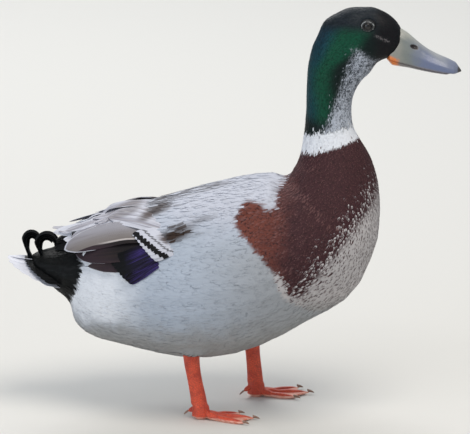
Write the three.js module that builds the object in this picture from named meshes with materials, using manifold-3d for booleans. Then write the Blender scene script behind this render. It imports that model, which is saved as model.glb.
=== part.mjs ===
// A standing farmyard drake of the mallard kind, life size, as a still museum model.
// Millimetres. +X points ahead, to the bill, +Y to the bird's left and +Z up, with the feet flat on Z = 0.
// The body is lofted whole and then parted by thin cuts, so each part keeps the true outline.
import * as THREE from "three";
import { mergeVertices } from "three/addons/utils/BufferGeometryUtils.js";
import Module from "manifold-3d";

const wasm = await Module();
wasm.setup();

// ---- driving dimensions -------------------------------------------------------------------

const gap = 0.3; // clearance left by every parting cut
const finest = 0.12; // detail below this is dropped
const hipSpread = 41; // each leg's distance from the middle plane
const hockHeight = 60; // where the feathered thigh gives way to the bare shank
const ankleHeight = 13; // where the shank meets the foot
const neckCut = 267; // height of the cut between neck and breast
const headCut = { x: 88, z: 315, lean: 0.32 }; // where the head leaves the neck, with the cut falling ahead
const rumpCut = -136; // where the trunk ends and the tail coverts begin
const breastCut = 62; // where the breast parts from the trunk
const eyeAt = { x: 118.2, y: 12.9, z: 359.4 };
const eyeRadius = 5.6;
const wingThickness = 4;

const legs = {
  right: { side: -1, ankle: -28, hock: -38, heading: -0.02 },
  left: { side: 1, ankle: 15, hock: 9.5, heading: 0.22 },
};

const paint = {
  green: { color: 0x0f4a38, roughness: 0.35 },
  chestnut: { color: 0x5a3028, roughness: 0.85 },
  white: { color: 0xd9dde0, roughness: 0.9 },
  scapulars: { color: 0xcfc9c2, roughness: 0.9 },
  tertials: { color: 0xa59b92, roughness: 0.85 },
  speculum: { color: 0x3a2c66, roughness: 0.4 },
  primaries: { color: 0x8d857e, roughness: 0.85 },
  coverts: { color: 0xb9b2ab, roughness: 0.9 },
  black: { color: 0x14181a, roughness: 0.5 },
  bill: { color: 0xa9ab9c, roughness: 0.4 },
  gape: { color: 0xc9824e, roughness: 0.45 },
  nail: { color: 0x2a2724, roughness: 0.4 },
  eye: { color: 0x17100c, roughness: 0.1 },
  orange: { color: 0xd9502c, roughness: 0.5 },
  claw: { color: 0x3b2f2a, roughness: 0.4 },
};

// ---- shaping helpers ----------------------------------------------------------------------

const lerp = THREE.MathUtils.lerp;
const degrees = THREE.MathUtils.degToRad;

// A smooth curve value(x) through a few [x, value] points, which run in one direction.
function through(...points) {
  const sorted = [...points].sort((a, b) => a[0] - b[0]);
  const last = sorted.length - 1;
  const slope = (i) => {
    const before = sorted[Math.max(i - 1, 0)];
    const after = sorted[Math.min(i + 1, last)];
    return (after[1] - before[1]) / (after[0] - before[0]);
  };
  return (x) => {
    if (x <= sorted[0][0]) return sorted[0][1];
    if (x >= sorted[last][0]) return sorted[last][1];
    const i = sorted.findIndex((p) => p[0] > x) - 1;
    const [from, to] = [sorted[i], sorted[i + 1]];
    const span = to[0] - from[0];
    const t = (x - from[0]) / span;
    const [t2, t3] = [t * t, t * t * t];
    return (
      (2 * t3 - 3 * t2 + 1) * from[1] +
      (t3 - 2 * t2 + t) * span * slope(i) +
      (3 * t2 - 2 * t3) * to[1] +
      (t3 - t2) * span * slope(i + 1)
    );
  };
}

// A closed geometry as a manifold solid, turned right side out.
function solid(geometry) {
  const bare = geometry.clone();
  bare.deleteAttribute("normal");
  bare.deleteAttribute("uv");
  const merged = mergeVertices(bare, 1e-4);
  const faces = Array.from(merged.index.array);
  const corners = [];
  for (let i = 0; i < faces.length; i += 3) {
    const [a, b, c] = faces.slice(i, i + 3);
    if (a !== b && b !== c && c !== a) corners.push(a, b, c);
  }
  const build = (order) =>
    new wasm.Manifold(
      new wasm.Mesh({
        numProp: 3,
        vertProperties: merged.attributes.position.array,
        triVerts: new Uint32Array(order),
      }),
    );
  const made = build(corners);
  if (made.volume() > 0) return made;
  return build(corners.reverse());
}

// Moves each vertex of a blank to place(u, v, w), where u, v and w come from its own frame.
function warp(blank, place) {
  const at = blank.attributes.position;
  for (let i = 0; i < at.count; i++) {
    const p = place(at.getX(i), at.getY(i), at.getZ(i), i);
    at.setXYZ(i, p.x, p.y, p.z);
  }
  return solid(blank);
}

// A closed loft: place(t, turn) gives the skin, with t 0..1 from end to end and turn a full circle.
function loft(around, along, place) {
  const blank = new THREE.SphereGeometry(1, around, along);
  const uv = blank.attributes.uv;
  const even = (i) => Math.round(uv.getX(i) * around - 0.01) / around;
  return warp(blank, (x, y, z, i) => {
    const t = 1 - uv.getY(i);
    const pole = t < 1e-6 || t > 1 - 1e-6;
    return place(t, pole ? 0 : 2 * Math.PI * even(i));
  });
}

// A closed slab: place(u, v, w) with u and v 0..1 over its faces and w 0 underneath, 1 on top.
function slab(along, across, place) {
  const blank = new THREE.BoxGeometry(1, 1, 1, along, across, 1);
  return warp(blank, (x, y, z) => place(x + 0.5, y + 0.5, z + 0.5));
}

// A tube along a curve, of elliptic section: sizes(t) gives [half across, half in the curve's plane].
function limb(curve, around, along, sizes, grow = 0) {
  return loft(around, along, (t, turn) => {
    const ahead = curve.getTangent(t);
    const across = new THREE.Vector3(0, 1, 0);
    if (Math.abs(ahead.y) > 0.1) across.set(-ahead.y, ahead.x, 0).normalize();
    const level = new THREE.Vector3().crossVectors(ahead, across).normalize();
    const [wide, deep] = sizes(t);
    const open = t > 0 && t < 1 ? grow : 0;
    return curve
      .getPoint(t)
      .addScaledVector(ahead, -grow * Math.cos(Math.PI * t))
      .addScaledVector(across, (wide + open) * Math.cos(turn))
      .addScaledVector(level, (deep + open) * Math.sin(turn));
  });
}

// How far a rounded end has opened at t, 0 at both ends and 1 between them.
function rounded(t, end = 0.12) {
  const near = Math.min(t, 1 - t, end) / end;
  return Math.sqrt(Math.max(0, 1 - (1 - near) ** 2));
}

const keepAbove = (body, z) => body.trimByPlane([0, 0, 1], z);
const keepBelow = (body, z) => body.trimByPlane([0, 0, -1], -z);
const keepAhead = (body, x) => body.trimByPlane([1, 0, 0], x);
const keepBehind = (body, x) => body.trimByPlane([-1, 0, 0], -x);

// ---- trunk --------------------------------------------------------------------------------

// Profiles over X: the height of the widest line, then how far back, belly and sides stand off it.
const trunk = {
  front: 129,
  rear: -154,
  middle: through([129, 177], [119, 174], [108, 167.5], [90, 162], [67, 154.5], [40, 143],
    [13, 135.5], [-18, 127], [-50, 121], [-77, 118], [-104, 116], [-154, 110]),
  back: through([129, 0], [127, 16], [119, 36], [108, 50], [90, 60], [67, 66], [40, 72],
    [13, 78], [-18, 80], [-50, 77], [-77, 72], [-104, 65], [-126, 53], [-140, 40], [-150, 26], [-154, 0]),
  belly: through([129, 0], [127, 18], [119, 38], [108, 54], [90, 64], [67, 69], [40, 74],
    [13, 79], [-18, 78], [-50, 72.5], [-77, 65], [-104, 57], [-126, 50], [-140, 41], [-150, 26], [-154, 0]),
  side: through([129, 0], [127, 20], [119, 42], [108, 56], [90, 68], [67, 77], [40, 82],
    [13, 85], [-18, 85], [-50, 82], [-77, 75], [-104, 65], [-126, 53], [-140, 41], [-150, 26], [-154, 0]),
};

function trunkLoft(grow = 0) {
  const middleX = (trunk.front + trunk.rear) / 2;
  const halfLong = (trunk.front - trunk.rear) / 2;
  return loft(26, 19, (t, turn) => {
    const x = middleX + halfLong * Math.cos(Math.PI * t);
    const open = t > 0 && t < 1 ? grow : 0;
    const rise = Math.sin(turn) > 0 ? trunk.back(x) : trunk.belly(x);
    return new THREE.Vector3(
      x + grow * Math.cos(Math.PI * t),
      (trunk.side(x) + open) * Math.cos(turn),
      trunk.middle(x) + (rise + open) * Math.sin(turn),
    );
  });
}

// ---- neck and head ------------------------------------------------------------------------

// The line of the throat and head, from deep in the breast up the neck to the bill's root.
// Each step holds the line's x and z, half its depth along the middle plane and half its width.
const neckSteps = [
  { x: 70, z: 150, deep: 0, wide: 0 },
  { x: 78, z: 166, deep: 42, wide: 58 },
  { x: 83, z: 184, deep: 46.5, wide: 64 },
  { x: 86, z: 203, deep: 43.5, wide: 55 },
  { x: 87, z: 217, deep: 40, wide: 44 },
  { x: 87, z: 228, deep: 36, wide: 35.5 },
  { x: 86, z: 237, deep: 32, wide: 29 },
  { x: 84.5, z: 246, deep: 28, wide: 24.5 },
  { x: 83, z: 255, deep: 24.8, wide: 21.5 },
  { x: 82.3, z: 265, deep: 22.2, wide: 19.4 },
  { x: 82.3, z: 279, deep: 21.3, wide: 18.6 },
  { x: 82.8, z: 293, deep: 21.9, wide: 18.4 },
  { x: 86, z: 308, deep: 24.8, wide: 18.8 },
  { x: 91.8, z: 324.5, deep: 29.2, wide: 19.6 },
  { x: 102.8, z: 338.5, deep: 31.6, wide: 20 },
  { x: 117.2, z: 345.2, deep: 29.2, wide: 18.8 },
  { x: 130, z: 344.8, deep: 23, wide: 16.4 },
  { x: 139, z: 342, deep: 16.4, wide: 14 },
  { x: 144.6, z: 340.2, deep: 12.2, wide: 12.4 },
  { x: 147.4, z: 339.2, deep: 8, wide: 9.5 },
  { x: 148.2, z: 338.8, deep: 0, wide: 0 },
];
const crownTaper = 0.13; // the crown is narrower than the cheeks by this share

function neckLoft(grow = 0) {
  const line = new THREE.CatmullRomCurve3(neckSteps.map((s) => new THREE.Vector3(s.x, 0, s.z)));
  const size = new THREE.CatmullRomCurve3(neckSteps.map((s) => new THREE.Vector3(s.deep, s.wide, 0)));
  return loft(18, 26, (t, turn) => {
    const ahead = line.getTangent(t);
    const up = new THREE.Vector3(-ahead.z, 0, ahead.x); // towards nape and crown
    const { x: deep, y: wide } = size.getPoint(t);
    const open = t > 0 && t < 1 ? grow : 0;
    const headward = THREE.MathUtils.smoothstep(t, 0.55, 0.72);
    const narrow = 1 - crownTaper * headward * Math.sin(turn);
    return line
      .getPoint(t)
      .addScaledVector(ahead, -grow * Math.cos(Math.PI * t))
      .addScaledVector(up, (deep + open) * Math.sin(turn))
      .add(new THREE.Vector3(0, (wide + open) * narrow * Math.cos(turn), 0));
  });
}

// ---- eyes ---------------------------------------------------------------------------------

function eyeball(side, grow = 0) {
  const ball = new THREE.SphereGeometry(eyeRadius + grow, 12, 8);
  return solid(ball).translate([eyeAt.x, side * eyeAt.y, eyeAt.z]);
}

// ---- bill ---------------------------------------------------------------------------------

const bill = {
  root: 136,
  tip: 201.5,
  culmen: through([136, 359], [146.5, 356.5], [153, 351], [162, 342.8], [171, 336], [180, 331.2],
    [189, 327.4], [195, 324.4], [199.5, 321], [201.5, 317.5]),
  edge: through([136, 330.5], [146.5, 327], [153, 324.6], [162, 322], [171, 320.2], [180, 318.8],
    [189, 317.4], [195, 316.6], [201.5, 316.4]),
  half: through([136, 10.8], [146.5, 11.8], [153, 11.6], [162, 11.7], [171, 12.3], [180, 13],
    [189, 13.1], [195, 11.4], [199.5, 7.6], [201.5, 0]),
  keel: through([136, 322.5], [153, 320], [168, 317.2], [182, 315.2], [193, 314.6], [196, 315.2]),
};
const nostrilAt = { x: 159.3, z: 339.4, long: 3.8, tall: 1.4 };
const nailBack = 193; // where the nail at the bill's tip begins

function upperBill() {
  return loft(14, 11, (t, turn) => {
    const x = lerp(bill.root, bill.tip, t);
    const closed = t <= 0 || t >= 1 ? 0 : 1;
    const above = Math.max(0, Math.sin(turn));
    const ridge = lerp(1.2, 0.85, t); // a keeled root and a flat spoon
    const rise = (bill.culmen(x) - bill.edge(x)) * above ** ridge;
    const under = 0.8 * Math.max(0, -Math.sin(turn));
    return new THREE.Vector3(
      x,
      closed * bill.half(x) * Math.cos(turn),
      bill.edge(x) + closed * (rise - under),
    );
  });
}

function lowerBill() {
  const tip = 196;
  return loft(12, 8, (t, turn) => {
    const x = lerp(bill.root, tip, t);
    const open = rounded(t, 0.16);
    const top = bill.edge(x) - 0.8 - gap;
    const rise = Math.sin(turn) > 0 ? 0 : (top - bill.keel(x)) * Math.sin(turn);
    return new THREE.Vector3(x, open * (bill.half(x) - 1.2) * Math.cos(turn), top + open * rise - 0.05 * (1 - open));
  });
}

function nostril(side) {
  const hollow = new THREE.SphereGeometry(1, 8, 5).scale(nostrilAt.long, 2, nostrilAt.tall);
  hollow.rotateY(degrees(24));
  const outwards = side * 7.4;
  return solid(hollow).translate([nostrilAt.x, outwards, nostrilAt.z]);
}

// ---- tail ---------------------------------------------------------------------------------

const rump = {
  front: -112,
  rear: -190,
  middle: through([-112, 128], [-140, 127], [-149, 125], [-158, 125.5], [-167, 128], [-176, 131.5],
    [-185, 134.8], [-190, 136.5]),
  tall: through([-112, 20], [-125, 29], [-140, 29.5], [-149, 28], [-158, 24], [-167, 18.5], [-176, 12.5],
    [-185, 6], [-190, 0]),
  half: through([-112, 30], [-140, 37], [-149, 35], [-158, 31.5], [-167, 28], [-176, 23.5], [-185, 15], [-190, 0]),
};

function rumpLoft(grow = 0) {
  return loft(14, 9, (t, turn) => {
    const x = lerp(rump.front, rump.rear, t);
    const open = (t > 0 ? 1 : 0) * (t < 1 ? 1 : 0);
    return new THREE.Vector3(
      x + grow * (2 * t - 1) * -1,
      open * (rump.half(x) + grow) * Math.cos(turn),
      rump.middle(x) + open * (rump.tall(x) + grow) * Math.sin(turn),
    );
  });
}

const fan = {
  pivot: -118, // the point that the tail feathers spread from
  root: 34, // radius where the fan leaves the coverts
  reach: 89.5, // radius of the middle feathers' tips
  spread: degrees(31), // half the fan's angle
  shorter: 12, // how much shorter the outermost feathers are
  feathers: 7, // on each side
  notch: 3.2, // depth of the notches between the tips
  droop: 13, // how far the outer feathers hang below the middle ones
};

function tailFan() {
  return slab(2, fan.feathers * 4, (u, v, w) => {
    const angle = fan.spread * (2 * v - 1);
    const outward = Math.abs(2 * v - 1);
    const beat = Math.abs(Math.sin(Math.PI * fan.feathers * 2 * v));
    const tip = fan.reach - fan.shorter * outward ** 2 - fan.notch * (1 - beat);
    const radius = lerp(fan.root, tip, u);
    const x = fan.pivot - radius * Math.cos(angle);
    const thick = lerp(5, 0.9, u) * lerp(1, 0.6, outward);
    const top = 131 + 0.08 * (-150 - x) + 1.5 * u - fan.droop * outward ** 1.6 * lerp(0.8, 1, u);
    return new THREE.Vector3(x, radius * Math.sin(angle), top + thick * (w - 0.5));
  });
}

// The drake's curled feathers rise from the coverts, arch over and turn ahead to their tips.
const curls = [
  { x: -192, y: 3.4, z: 153, size: 8, turn: 235, root: 134 },
  { x: -192.5, y: -3.6, z: 152, size: 7.8, turn: 225, root: 134 },
  { x: -176, y: 10.6, z: 152, size: 7.8, turn: 240, root: 138 },
  { x: -175.5, y: -10.8, z: 151, size: 7.6, turn: 230, root: 138 },
];

function curl({ x, y, z, size, turn, root }) {
  const points = [
    new THREE.Vector3(x + 6, y * 0.8, root - 3),
    new THREE.Vector3(x + 1.5, y * 0.85, lerp(root, z, 0.5)),
  ];
  for (let step = 0; step <= 8; step++) {
    const angle = degrees(180 - (turn * step) / 8);
    const radius = size * (1 - 0.025 * step);
    points.push(new THREE.Vector3(x + size + radius * Math.cos(angle), y * (1 + 0.03 * step), z + radius * Math.sin(angle)));
  }
  const line = new THREE.CatmullRomCurve3(points);
  return limb(line, 6, 11, (t) => {
    const open = rounded(t, 0.1);
    return [2.9 * open * (1 - 0.35 * t), 0.95 * open];
  });
}

// ---- wings --------------------------------------------------------------------------------

// The folded wing lies on an envelope that follows the flank and then runs on over the rump.
const envelope = {
  middle: trunk.middle,
  rise: through([40, 76], [13, 81], [-18, 82.5], [-50, 79.5], [-77, 74.5], [-104, 68.5], [-130, 62], [-148, 59.5],
    [-162, 59]),
  half: through([40, 82], [13, 86.5], [-18, 87.5], [-50, 85], [-77, 79], [-104, 70], [-130, 57], [-148, 44],
    [-162, 35]),
};
const wing = { front: 34, rear: -162, high: through([34, 87], [-122, 87], [-142, 80], [-162, 62]) };

// The wing's edges as the angle up from the widest line, over X.
const wingEdge = through([34, 57.5], [18, 49.5], [0, 45.5], [-31, 41.5], [-60, 32.5], [-72, 26.4], [-86, 18.8],
  [-97, 13.2], [-104, 19], [-111, 24.2], [-124, 27.3], [-137, 33], [-146, 40], [-162, 53]);

// What each part of the wing covers, in the order that they lie over one another.
const wingRegions = {
  scapulars: { front: 44, rear: -78, low: through([44, 60], [18, 54], [-31, 49], [-60, 50], [-78, 49]) },
  tertials: { front: -70, rear: -150, low: through([-70, 47], [-88, 45], [-104, 42.5], [-117, 42], [-130, 46], [-150, 58]) },
  primaries: { front: -138, rear: -174, low: () => 20 },
  coverts: { front: 44, rear: -70, low: () => 5 },
};

// A patch of the envelope from front to rear X between two edges, as thick as asked for.
function wingPatch(side, { front, rear, low, high, depth, thick, steps }, grow = 0) {
  const turn = grow * 0.8; // the degrees that the growth takes up on the envelope
  return slab(steps[0], steps[1], (u, v, w) => {
    const x = lerp(front + grow, rear - grow, u);
    const angle = degrees(lerp(low(x) - turn, high(x) + turn, v));
    const deep = depth - grow + (thick + 2 * grow) * (1 - w);
    return new THREE.Vector3(
      x,
      side * (envelope.half(x) - deep) * Math.cos(angle),
      envelope.middle(x) + (envelope.rise(x) - deep) * Math.sin(angle),
    );
  });
}

function wingWhole(side, grow = 0) {
  const shape = { low: wingEdge, depth: 0, thick: wingThickness, steps: [12, 4] };
  return wingPatch(side, { ...wing, ...shape }, grow);
}

function wingRegion(side, region, grow = 0) {
  return wingPatch(side, { ...region, high: () => 95, depth: -8, thick: 24, steps: [7, 2] }, grow);
}

// The wing parted into its groups of feathers, with what is left over as the speculum.
function wingParts(side) {
  const parts = {};
  let rest = wingWhole(side);
  for (const [name, region] of Object.entries(wingRegions)) {
    parts[name] = rest.intersect(wingRegion(side, region));
    rest = rest.subtract(wingRegion(side, region, gap));
  }
  return { ...parts, speculum: rest };
}

// ---- legs and feet ------------------------------------------------------------------------

const toes = [
  { name: "inner", turn: degrees(26), long: 36, thick: 3.2 },
  { name: "middle", turn: 0, long: 47, thick: 3.5 },
  { name: "outer", turn: degrees(-24), long: 44, thick: 3.3 },
];
const hindToe = { turn: degrees(168), long: 14, thick: 2.4, root: 11 };
const clawLength = 5.5;

// A point of the foot: so far from the ankle along a direction, at a height.
function footPoint(leg, turn, far, z) {
  const angle = leg.heading - leg.side * turn;
  return new THREE.Vector3(
    leg.ankle + far * Math.cos(angle),
    leg.side * hipSpread + far * Math.sin(angle),
    z,
  );
}

function toeLoft(leg, { turn, long, thick }) {
  const line = new THREE.CatmullRomCurve3([
    footPoint(leg, turn, -2, 6.5),
    footPoint(leg, turn, long * 0.15, 4.6),
    footPoint(leg, turn, long * 0.4, 2.7),
    footPoint(leg, turn, long * 0.7, 2.1),
    footPoint(leg, turn, long + 2, 1.8),
  ]);
  return limb(line, 6, 6, (t) => {
    const knuckle = 1 + 0.12 * Math.cos(6 * Math.PI * t);
    const size = thick * lerp(1.15, 0.72, t) * knuckle * rounded(t, 0.06);
    return [size, size];
  });
}

function webSlab(leg) {
  const [inner, middle, outer] = toes;
  return slab(2, 8, (u, v, w) => {
    const turn = lerp(inner.turn, outer.turn, v);
    const first = v < 0.5;
    const reach = first ? lerp(inner.long, middle.long, v * 2) : lerp(middle.long, outer.long, v * 2 - 1);
    const bay = Math.sin(2 * Math.PI * v) ** 2; // the web's free edge hangs back between the toes
    const far = lerp(7, reach * (0.97 - 0.13 * bay), u);
    const z = 0.9 + lerp(4.2, 0.9, u ** 0.7) * (1 - 0.35 * bay) + 1.3 * (w - 0.5);
    return footPoint(leg, turn, far, z);
  });
}

// The foot without its claws: ankle, hind toe, three toes and their web, flat on the floor.
function foot(leg) {
  const ankle = limb(
    new THREE.CatmullRomCurve3([
      footPoint(leg, 0, -1, -3),
      footPoint(leg, 0, -1, 5),
      footPoint(leg, 0, -1.5, 15),
      footPoint(leg, 0, -2, 22),
    ]),
    7, 4,
    (t) => [lerp(7.6, 5.4, t) * rounded(t, 0.2), lerp(9, 7, t) * rounded(t, 0.2)],
  );
  const back = limb(
    new THREE.CatmullRomCurve3([
      footPoint(leg, hindToe.turn, 2, hindToe.root + 1),
      footPoint(leg, hindToe.turn, hindToe.long * 0.6, hindToe.root - 2),
      footPoint(leg, hindToe.turn, hindToe.long, hindToe.root - 5.5),
    ]),
    6, 4,
    (t) => [hindToe.thick * rounded(t, 0.3), hindToe.thick * rounded(t, 0.3)],
  );
  const bare = [webSlab(leg), back, ...toes.map((toe) => trimmedToe(leg, toe))].reduce((a, b) => a.add(b), ankle);
  return keepBelow(keepAbove(bare, 0), ankleHeight);
}

function toeAxis(leg, turn) {
  const angle = leg.heading - leg.side * turn;
  return [Math.cos(angle), Math.sin(angle), 0];
}

function trimmedToe(leg, toe) {
  const axis = toeAxis(leg, toe.turn);
  const end = footPoint(leg, toe.turn, toe.long, 0);
  const offset = end.x * axis[0] + end.y * axis[1];
  return toeLoft(leg, toe).trimByPlane(axis.map((a) => -a), -offset);
}

function claw(leg, { turn, long, thick }) {
  const line = new THREE.CatmullRomCurve3([
    footPoint(leg, turn, long - 2, 2.7),
    footPoint(leg, turn, long + clawLength * 0.5, 2.6),
    footPoint(leg, turn, long + clawLength, 1.3),
  ]);
  const axis = toeAxis(leg, turn);
  const start = footPoint(leg, turn, long + gap, 0);
  const body = limb(line, 6, 4, (t) => {
    const size = lerp(thick * 0.72, 0.5, t) * rounded(t, 0.15);
    return [size * 0.85, size];
  });
  return keepAbove(body.trimByPlane(axis, start.x * axis[0] + start.y * axis[1]), 0);
}

function hindClaw(leg) {
  const line = new THREE.CatmullRomCurve3([
    footPoint(leg, hindToe.turn, hindToe.long - 1, hindToe.root - 4.6),
    footPoint(leg, hindToe.turn, hindToe.long + 2.5, hindToe.root - 7),
    footPoint(leg, hindToe.turn, hindToe.long + 3.6, hindToe.root - 8.6),
  ]);
  return keepAbove(limb(line, 5, 4, (t) => [lerp(1.6, 0.5, t) * rounded(t, 0.2), lerp(1.6, 0.5, t) * rounded(t, 0.2)]), 0.1);
}

function shank(leg, grow = 0) {
  const line = new THREE.CatmullRomCurve3([
    new THREE.Vector3(leg.ankle - 1.5, leg.side * hipSpread, 4),
    new THREE.Vector3(lerp(leg.ankle, leg.hock, 0.3) - 1, leg.side * hipSpread, 22),
    new THREE.Vector3(lerp(leg.ankle, leg.hock, 0.7) - 0.5, leg.side * hipSpread, 40),
    new THREE.Vector3(leg.hock, leg.side * hipSpread, 60),
    new THREE.Vector3(leg.hock + 2, leg.side * hipSpread, 74),
  ]);
  const wide = through([0, 6.2], [0.25, 4.8], [0.5, 4.5], [0.75, 5.8], [1, 6.4]);
  const deep = through([0, 8.2], [0.25, 7.2], [0.5, 6.8], [0.75, 7.8], [1, 8.4]);
  const sizes = (t) => [wide(t) * rounded(t, 0.05), deep(t) * rounded(t, 0.05)];
  const whole = limb(line, 10, 8, sizes, grow);
  return keepBelow(keepAbove(whole, ankleHeight + gap - grow), hockHeight - gap + grow);
}

// The feathered thigh reaches up into the trunk, where grow makes the room for it.
function thigh(leg, grow = 0) {
  const line = new THREE.CatmullRomCurve3([
    new THREE.Vector3(leg.hock + 14, leg.side * (hipSpread + 2), 104),
    new THREE.Vector3(leg.hock + 8, leg.side * (hipSpread + 1), 82),
    new THREE.Vector3(leg.hock + 2, leg.side * hipSpread, 62),
    new THREE.Vector3(leg.hock, leg.side * hipSpread, 46),
  ]);
  const width = through([0, 20], [0.35, 24], [0.7, 14], [1, 8]);
  const sizes = (t) => [width(t) * 0.85 * rounded(t, 0.12), width(t) * rounded(t, 0.12)];
  return keepAbove(limb(line, 10, 7, sizes, grow), hockHeight - grow);
}

// ---- parting the whole into its nodes -----------------------------------------------------

const duck = new THREE.Group();

function geometryOf(body) {
  const mesh = body.simplify(finest).getMesh();
  const positions = new Float32Array(mesh.numVert * 3);
  for (let i = 0; i < mesh.numVert; i++) {
    positions.set(mesh.vertProperties.subarray(i * mesh.numProp, i * mesh.numProp + 3), i * 3);
  }
  const geometry = new THREE.BufferGeometry();
  geometry.setAttribute("position", new THREE.BufferAttribute(positions, 3));
  geometry.setIndex(new THREE.BufferAttribute(mesh.triVerts, 1));
  geometry.computeVertexNormals();
  return geometry;
}

// The largest single body of a cut, so that no sliver is kept.
function largest(body) {
  return body.decompose().reduce((a, b) => (b.volume() > a.volume() ? b : a));
}

function addPart(name, body, look) {
  const material = new THREE.MeshStandardMaterial({ metalness: 0, ...look });
  const mesh = new THREE.Mesh(geometryOf(largest(body)), material);
  mesh.name = name;
  duck.add(mesh);
}

const sides = { left: 1, right: -1 };
const whole = trunkLoft().add(neckLoft());

// The wings are let into the trunk, with a clearance all round.
const wingRoom = Object.values(sides).map((side) => wingWhole(side, gap));
const legRoom = Object.values(legs).flatMap((leg) => [thigh(leg, gap), shank(leg, gap)]);
const body = [...wingRoom, ...legRoom].reduce((left, room) => left.subtract(room), whole);
const tailEnd = rumpLoft();
const lean = [Math.sin(headCut.lean), 0, Math.cos(headCut.lean)];
const leanOffset = headCut.x * lean[0] + headCut.z * lean[2];

const headWhole = body.trimByPlane(lean, leanOffset + gap);
const neckWhole = keepAbove(body.trimByPlane(lean.map((a) => -a), -leanOffset), neckCut + gap);
const breastAndTrunk = keepBelow(body, neckCut);
const head = headWhole.subtract(eyeball(1, gap)).subtract(eyeball(-1, gap));
const headRoom = neckLoft(gap);

addPart("head", head, paint.green);
addPart("neck", neckWhole, paint.green);
addPart("breast", keepAhead(breastAndTrunk, breastCut + gap), paint.chestnut);
addPart("trunk", keepAhead(keepBehind(breastAndTrunk, breastCut), rumpCut), paint.white);

const upper = upperBill().subtract(headRoom).subtract(nostril(1)).subtract(nostril(-1));
addPart("bill_upper", keepBehind(upper, nailBack), paint.bill);
addPart("bill_nail", keepAhead(upper, nailBack + gap), paint.nail);
addPart("bill_lower", lowerBill().subtract(headRoom), paint.gape);
for (const [name, side] of Object.entries(sides)) addPart("eye_" + name, eyeball(side), paint.eye);

const fanSolid = tailFan();
const ventWhole = body.add(tailEnd).subtract(wingRoom[0]).subtract(wingRoom[1]);
const curlSolids = curls.map(curl);
const coverts = keepBehind(ventWhole, rumpCut - gap).subtract(tailFan());
addPart("tail_coverts", coverts, paint.black);
addPart("tail_fan", fanSolid.subtract(rumpLoft(gap)), paint.white);
curlSolids.forEach((body, i) => addPart("tail_curl_" + (i + 1), body.subtract(rumpLoft(gap)), paint.black));

for (const [name, side] of Object.entries(sides)) {
  for (const [group, body] of Object.entries(wingParts(side))) {
    addPart("wing_" + name + "_" + group, body, paint[group]);
  }
}

for (const [name, leg] of Object.entries(legs)) {
  addPart("thigh_" + name, thigh(leg), paint.white);
  addPart("shank_" + name, shank(leg), paint.orange);
  addPart("foot_" + name, foot(leg), paint.orange);
  for (const toe of toes) addPart("claw_" + name + "_" + toe.name, claw(leg, toe), paint.claw);
  addPart("claw_" + name + "_hind", hindClaw(leg).subtract(foot(leg)), paint.claw);
}

// The part's origin is under the middle of its own box, at the level of the soles.
const bounds = new THREE.Box3().setFromObject(duck);
const middle = bounds.getCenter(new THREE.Vector3());
duck.position.set(-middle.x, -middle.y, -bounds.min.z);
duck.updateMatrixWorld(true);

export default duck;
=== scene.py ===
import math

import bmesh
import bpy
import numpy as np
from mathutils import Matrix, Vector
from mathutils.bvhtree import BVHTree


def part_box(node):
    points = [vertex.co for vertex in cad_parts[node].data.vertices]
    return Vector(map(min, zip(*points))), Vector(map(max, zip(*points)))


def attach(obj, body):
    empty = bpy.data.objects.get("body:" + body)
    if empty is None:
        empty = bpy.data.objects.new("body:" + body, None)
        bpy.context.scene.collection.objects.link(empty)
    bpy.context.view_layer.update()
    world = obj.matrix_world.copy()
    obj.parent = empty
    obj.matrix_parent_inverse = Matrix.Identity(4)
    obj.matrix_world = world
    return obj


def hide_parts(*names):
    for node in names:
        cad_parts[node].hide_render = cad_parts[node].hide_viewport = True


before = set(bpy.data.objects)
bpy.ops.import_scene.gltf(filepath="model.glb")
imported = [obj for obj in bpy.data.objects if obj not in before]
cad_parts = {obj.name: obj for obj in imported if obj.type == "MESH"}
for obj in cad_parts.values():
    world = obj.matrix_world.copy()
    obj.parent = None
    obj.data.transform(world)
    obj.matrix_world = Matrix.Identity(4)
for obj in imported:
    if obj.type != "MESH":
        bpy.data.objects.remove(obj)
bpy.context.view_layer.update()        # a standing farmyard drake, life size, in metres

mm = 0.001
chance = np.random.default_rng(41)      # the one seeded source of all variation
sides = {"right": -1, "left": 1}
wingTracts = ["scapulars", "coverts", "speculum", "tertials", "primaries"]


def paint(tone):
    parts = [int(tone[i:i + 2], 16) / 255 for i in (0, 2, 4)]
    return tuple(p / 12.92 if p < 0.04045 else ((p + 0.055) / 1.055) ** 2.4 for p in parts) + (1.0,)


# shader values: sums, products and ramps of a field become nodes

class Field:
    def __init__(self, tree, socket):
        self.tree = tree
        self.socket = socket

    def __add__(self, other):
        return calc("ADD", self, other)

    def __sub__(self, other):
        return calc("SUBTRACT", self, other)

    def __rsub__(self, other):
        return calc("SUBTRACT", other, self)

    def __mul__(self, other):
        return calc("MULTIPLY", self, other)

    def __truediv__(self, other):
        return calc("DIVIDE", self, other)

    def __abs__(self):
        return calc("ABSOLUTE", self)

    def ramp(self, low, high, start=0.0, end=1.0):      # smooth, and falling where low is above high
        limits = {"Value": self, "From Min": low, "From Max": high, "To Min": start, "To Max": end}
        return addNode(self.tree, "MapRange", limits, interpolation_type="SMOOTHSTEP")


def connect(tree, sockets, values):
    for name, value in values.items():
        if isinstance(value, Field):
            tree.links.new(value.socket, sockets[name])
        else:
            sockets[name].default_value = value


def addNode(tree, kind, inputs=None, output=0, **settings):
    made = tree.nodes.new("ShaderNode" + kind)
    for name, value in settings.items():
        setattr(made, name, value)
    connect(tree, made.inputs, inputs or {})
    return Field(tree, made.outputs[output])


def homeOf(*values):
    return next(value.tree for value in values if isinstance(value, Field))


def calc(how, *values):
    return addNode(homeOf(*values), "Math", dict(enumerate(values)), operation=how)


def blend(amount, first, second):
    parts = {0: amount, 6: first, 7: second}
    return addNode(homeOf(amount, first, second), "Mix", parts, 2, data_type="RGBA", clamp_factor=True)


def distance(first, second):
    return calc("SQRT", first * first + second * second)


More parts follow.
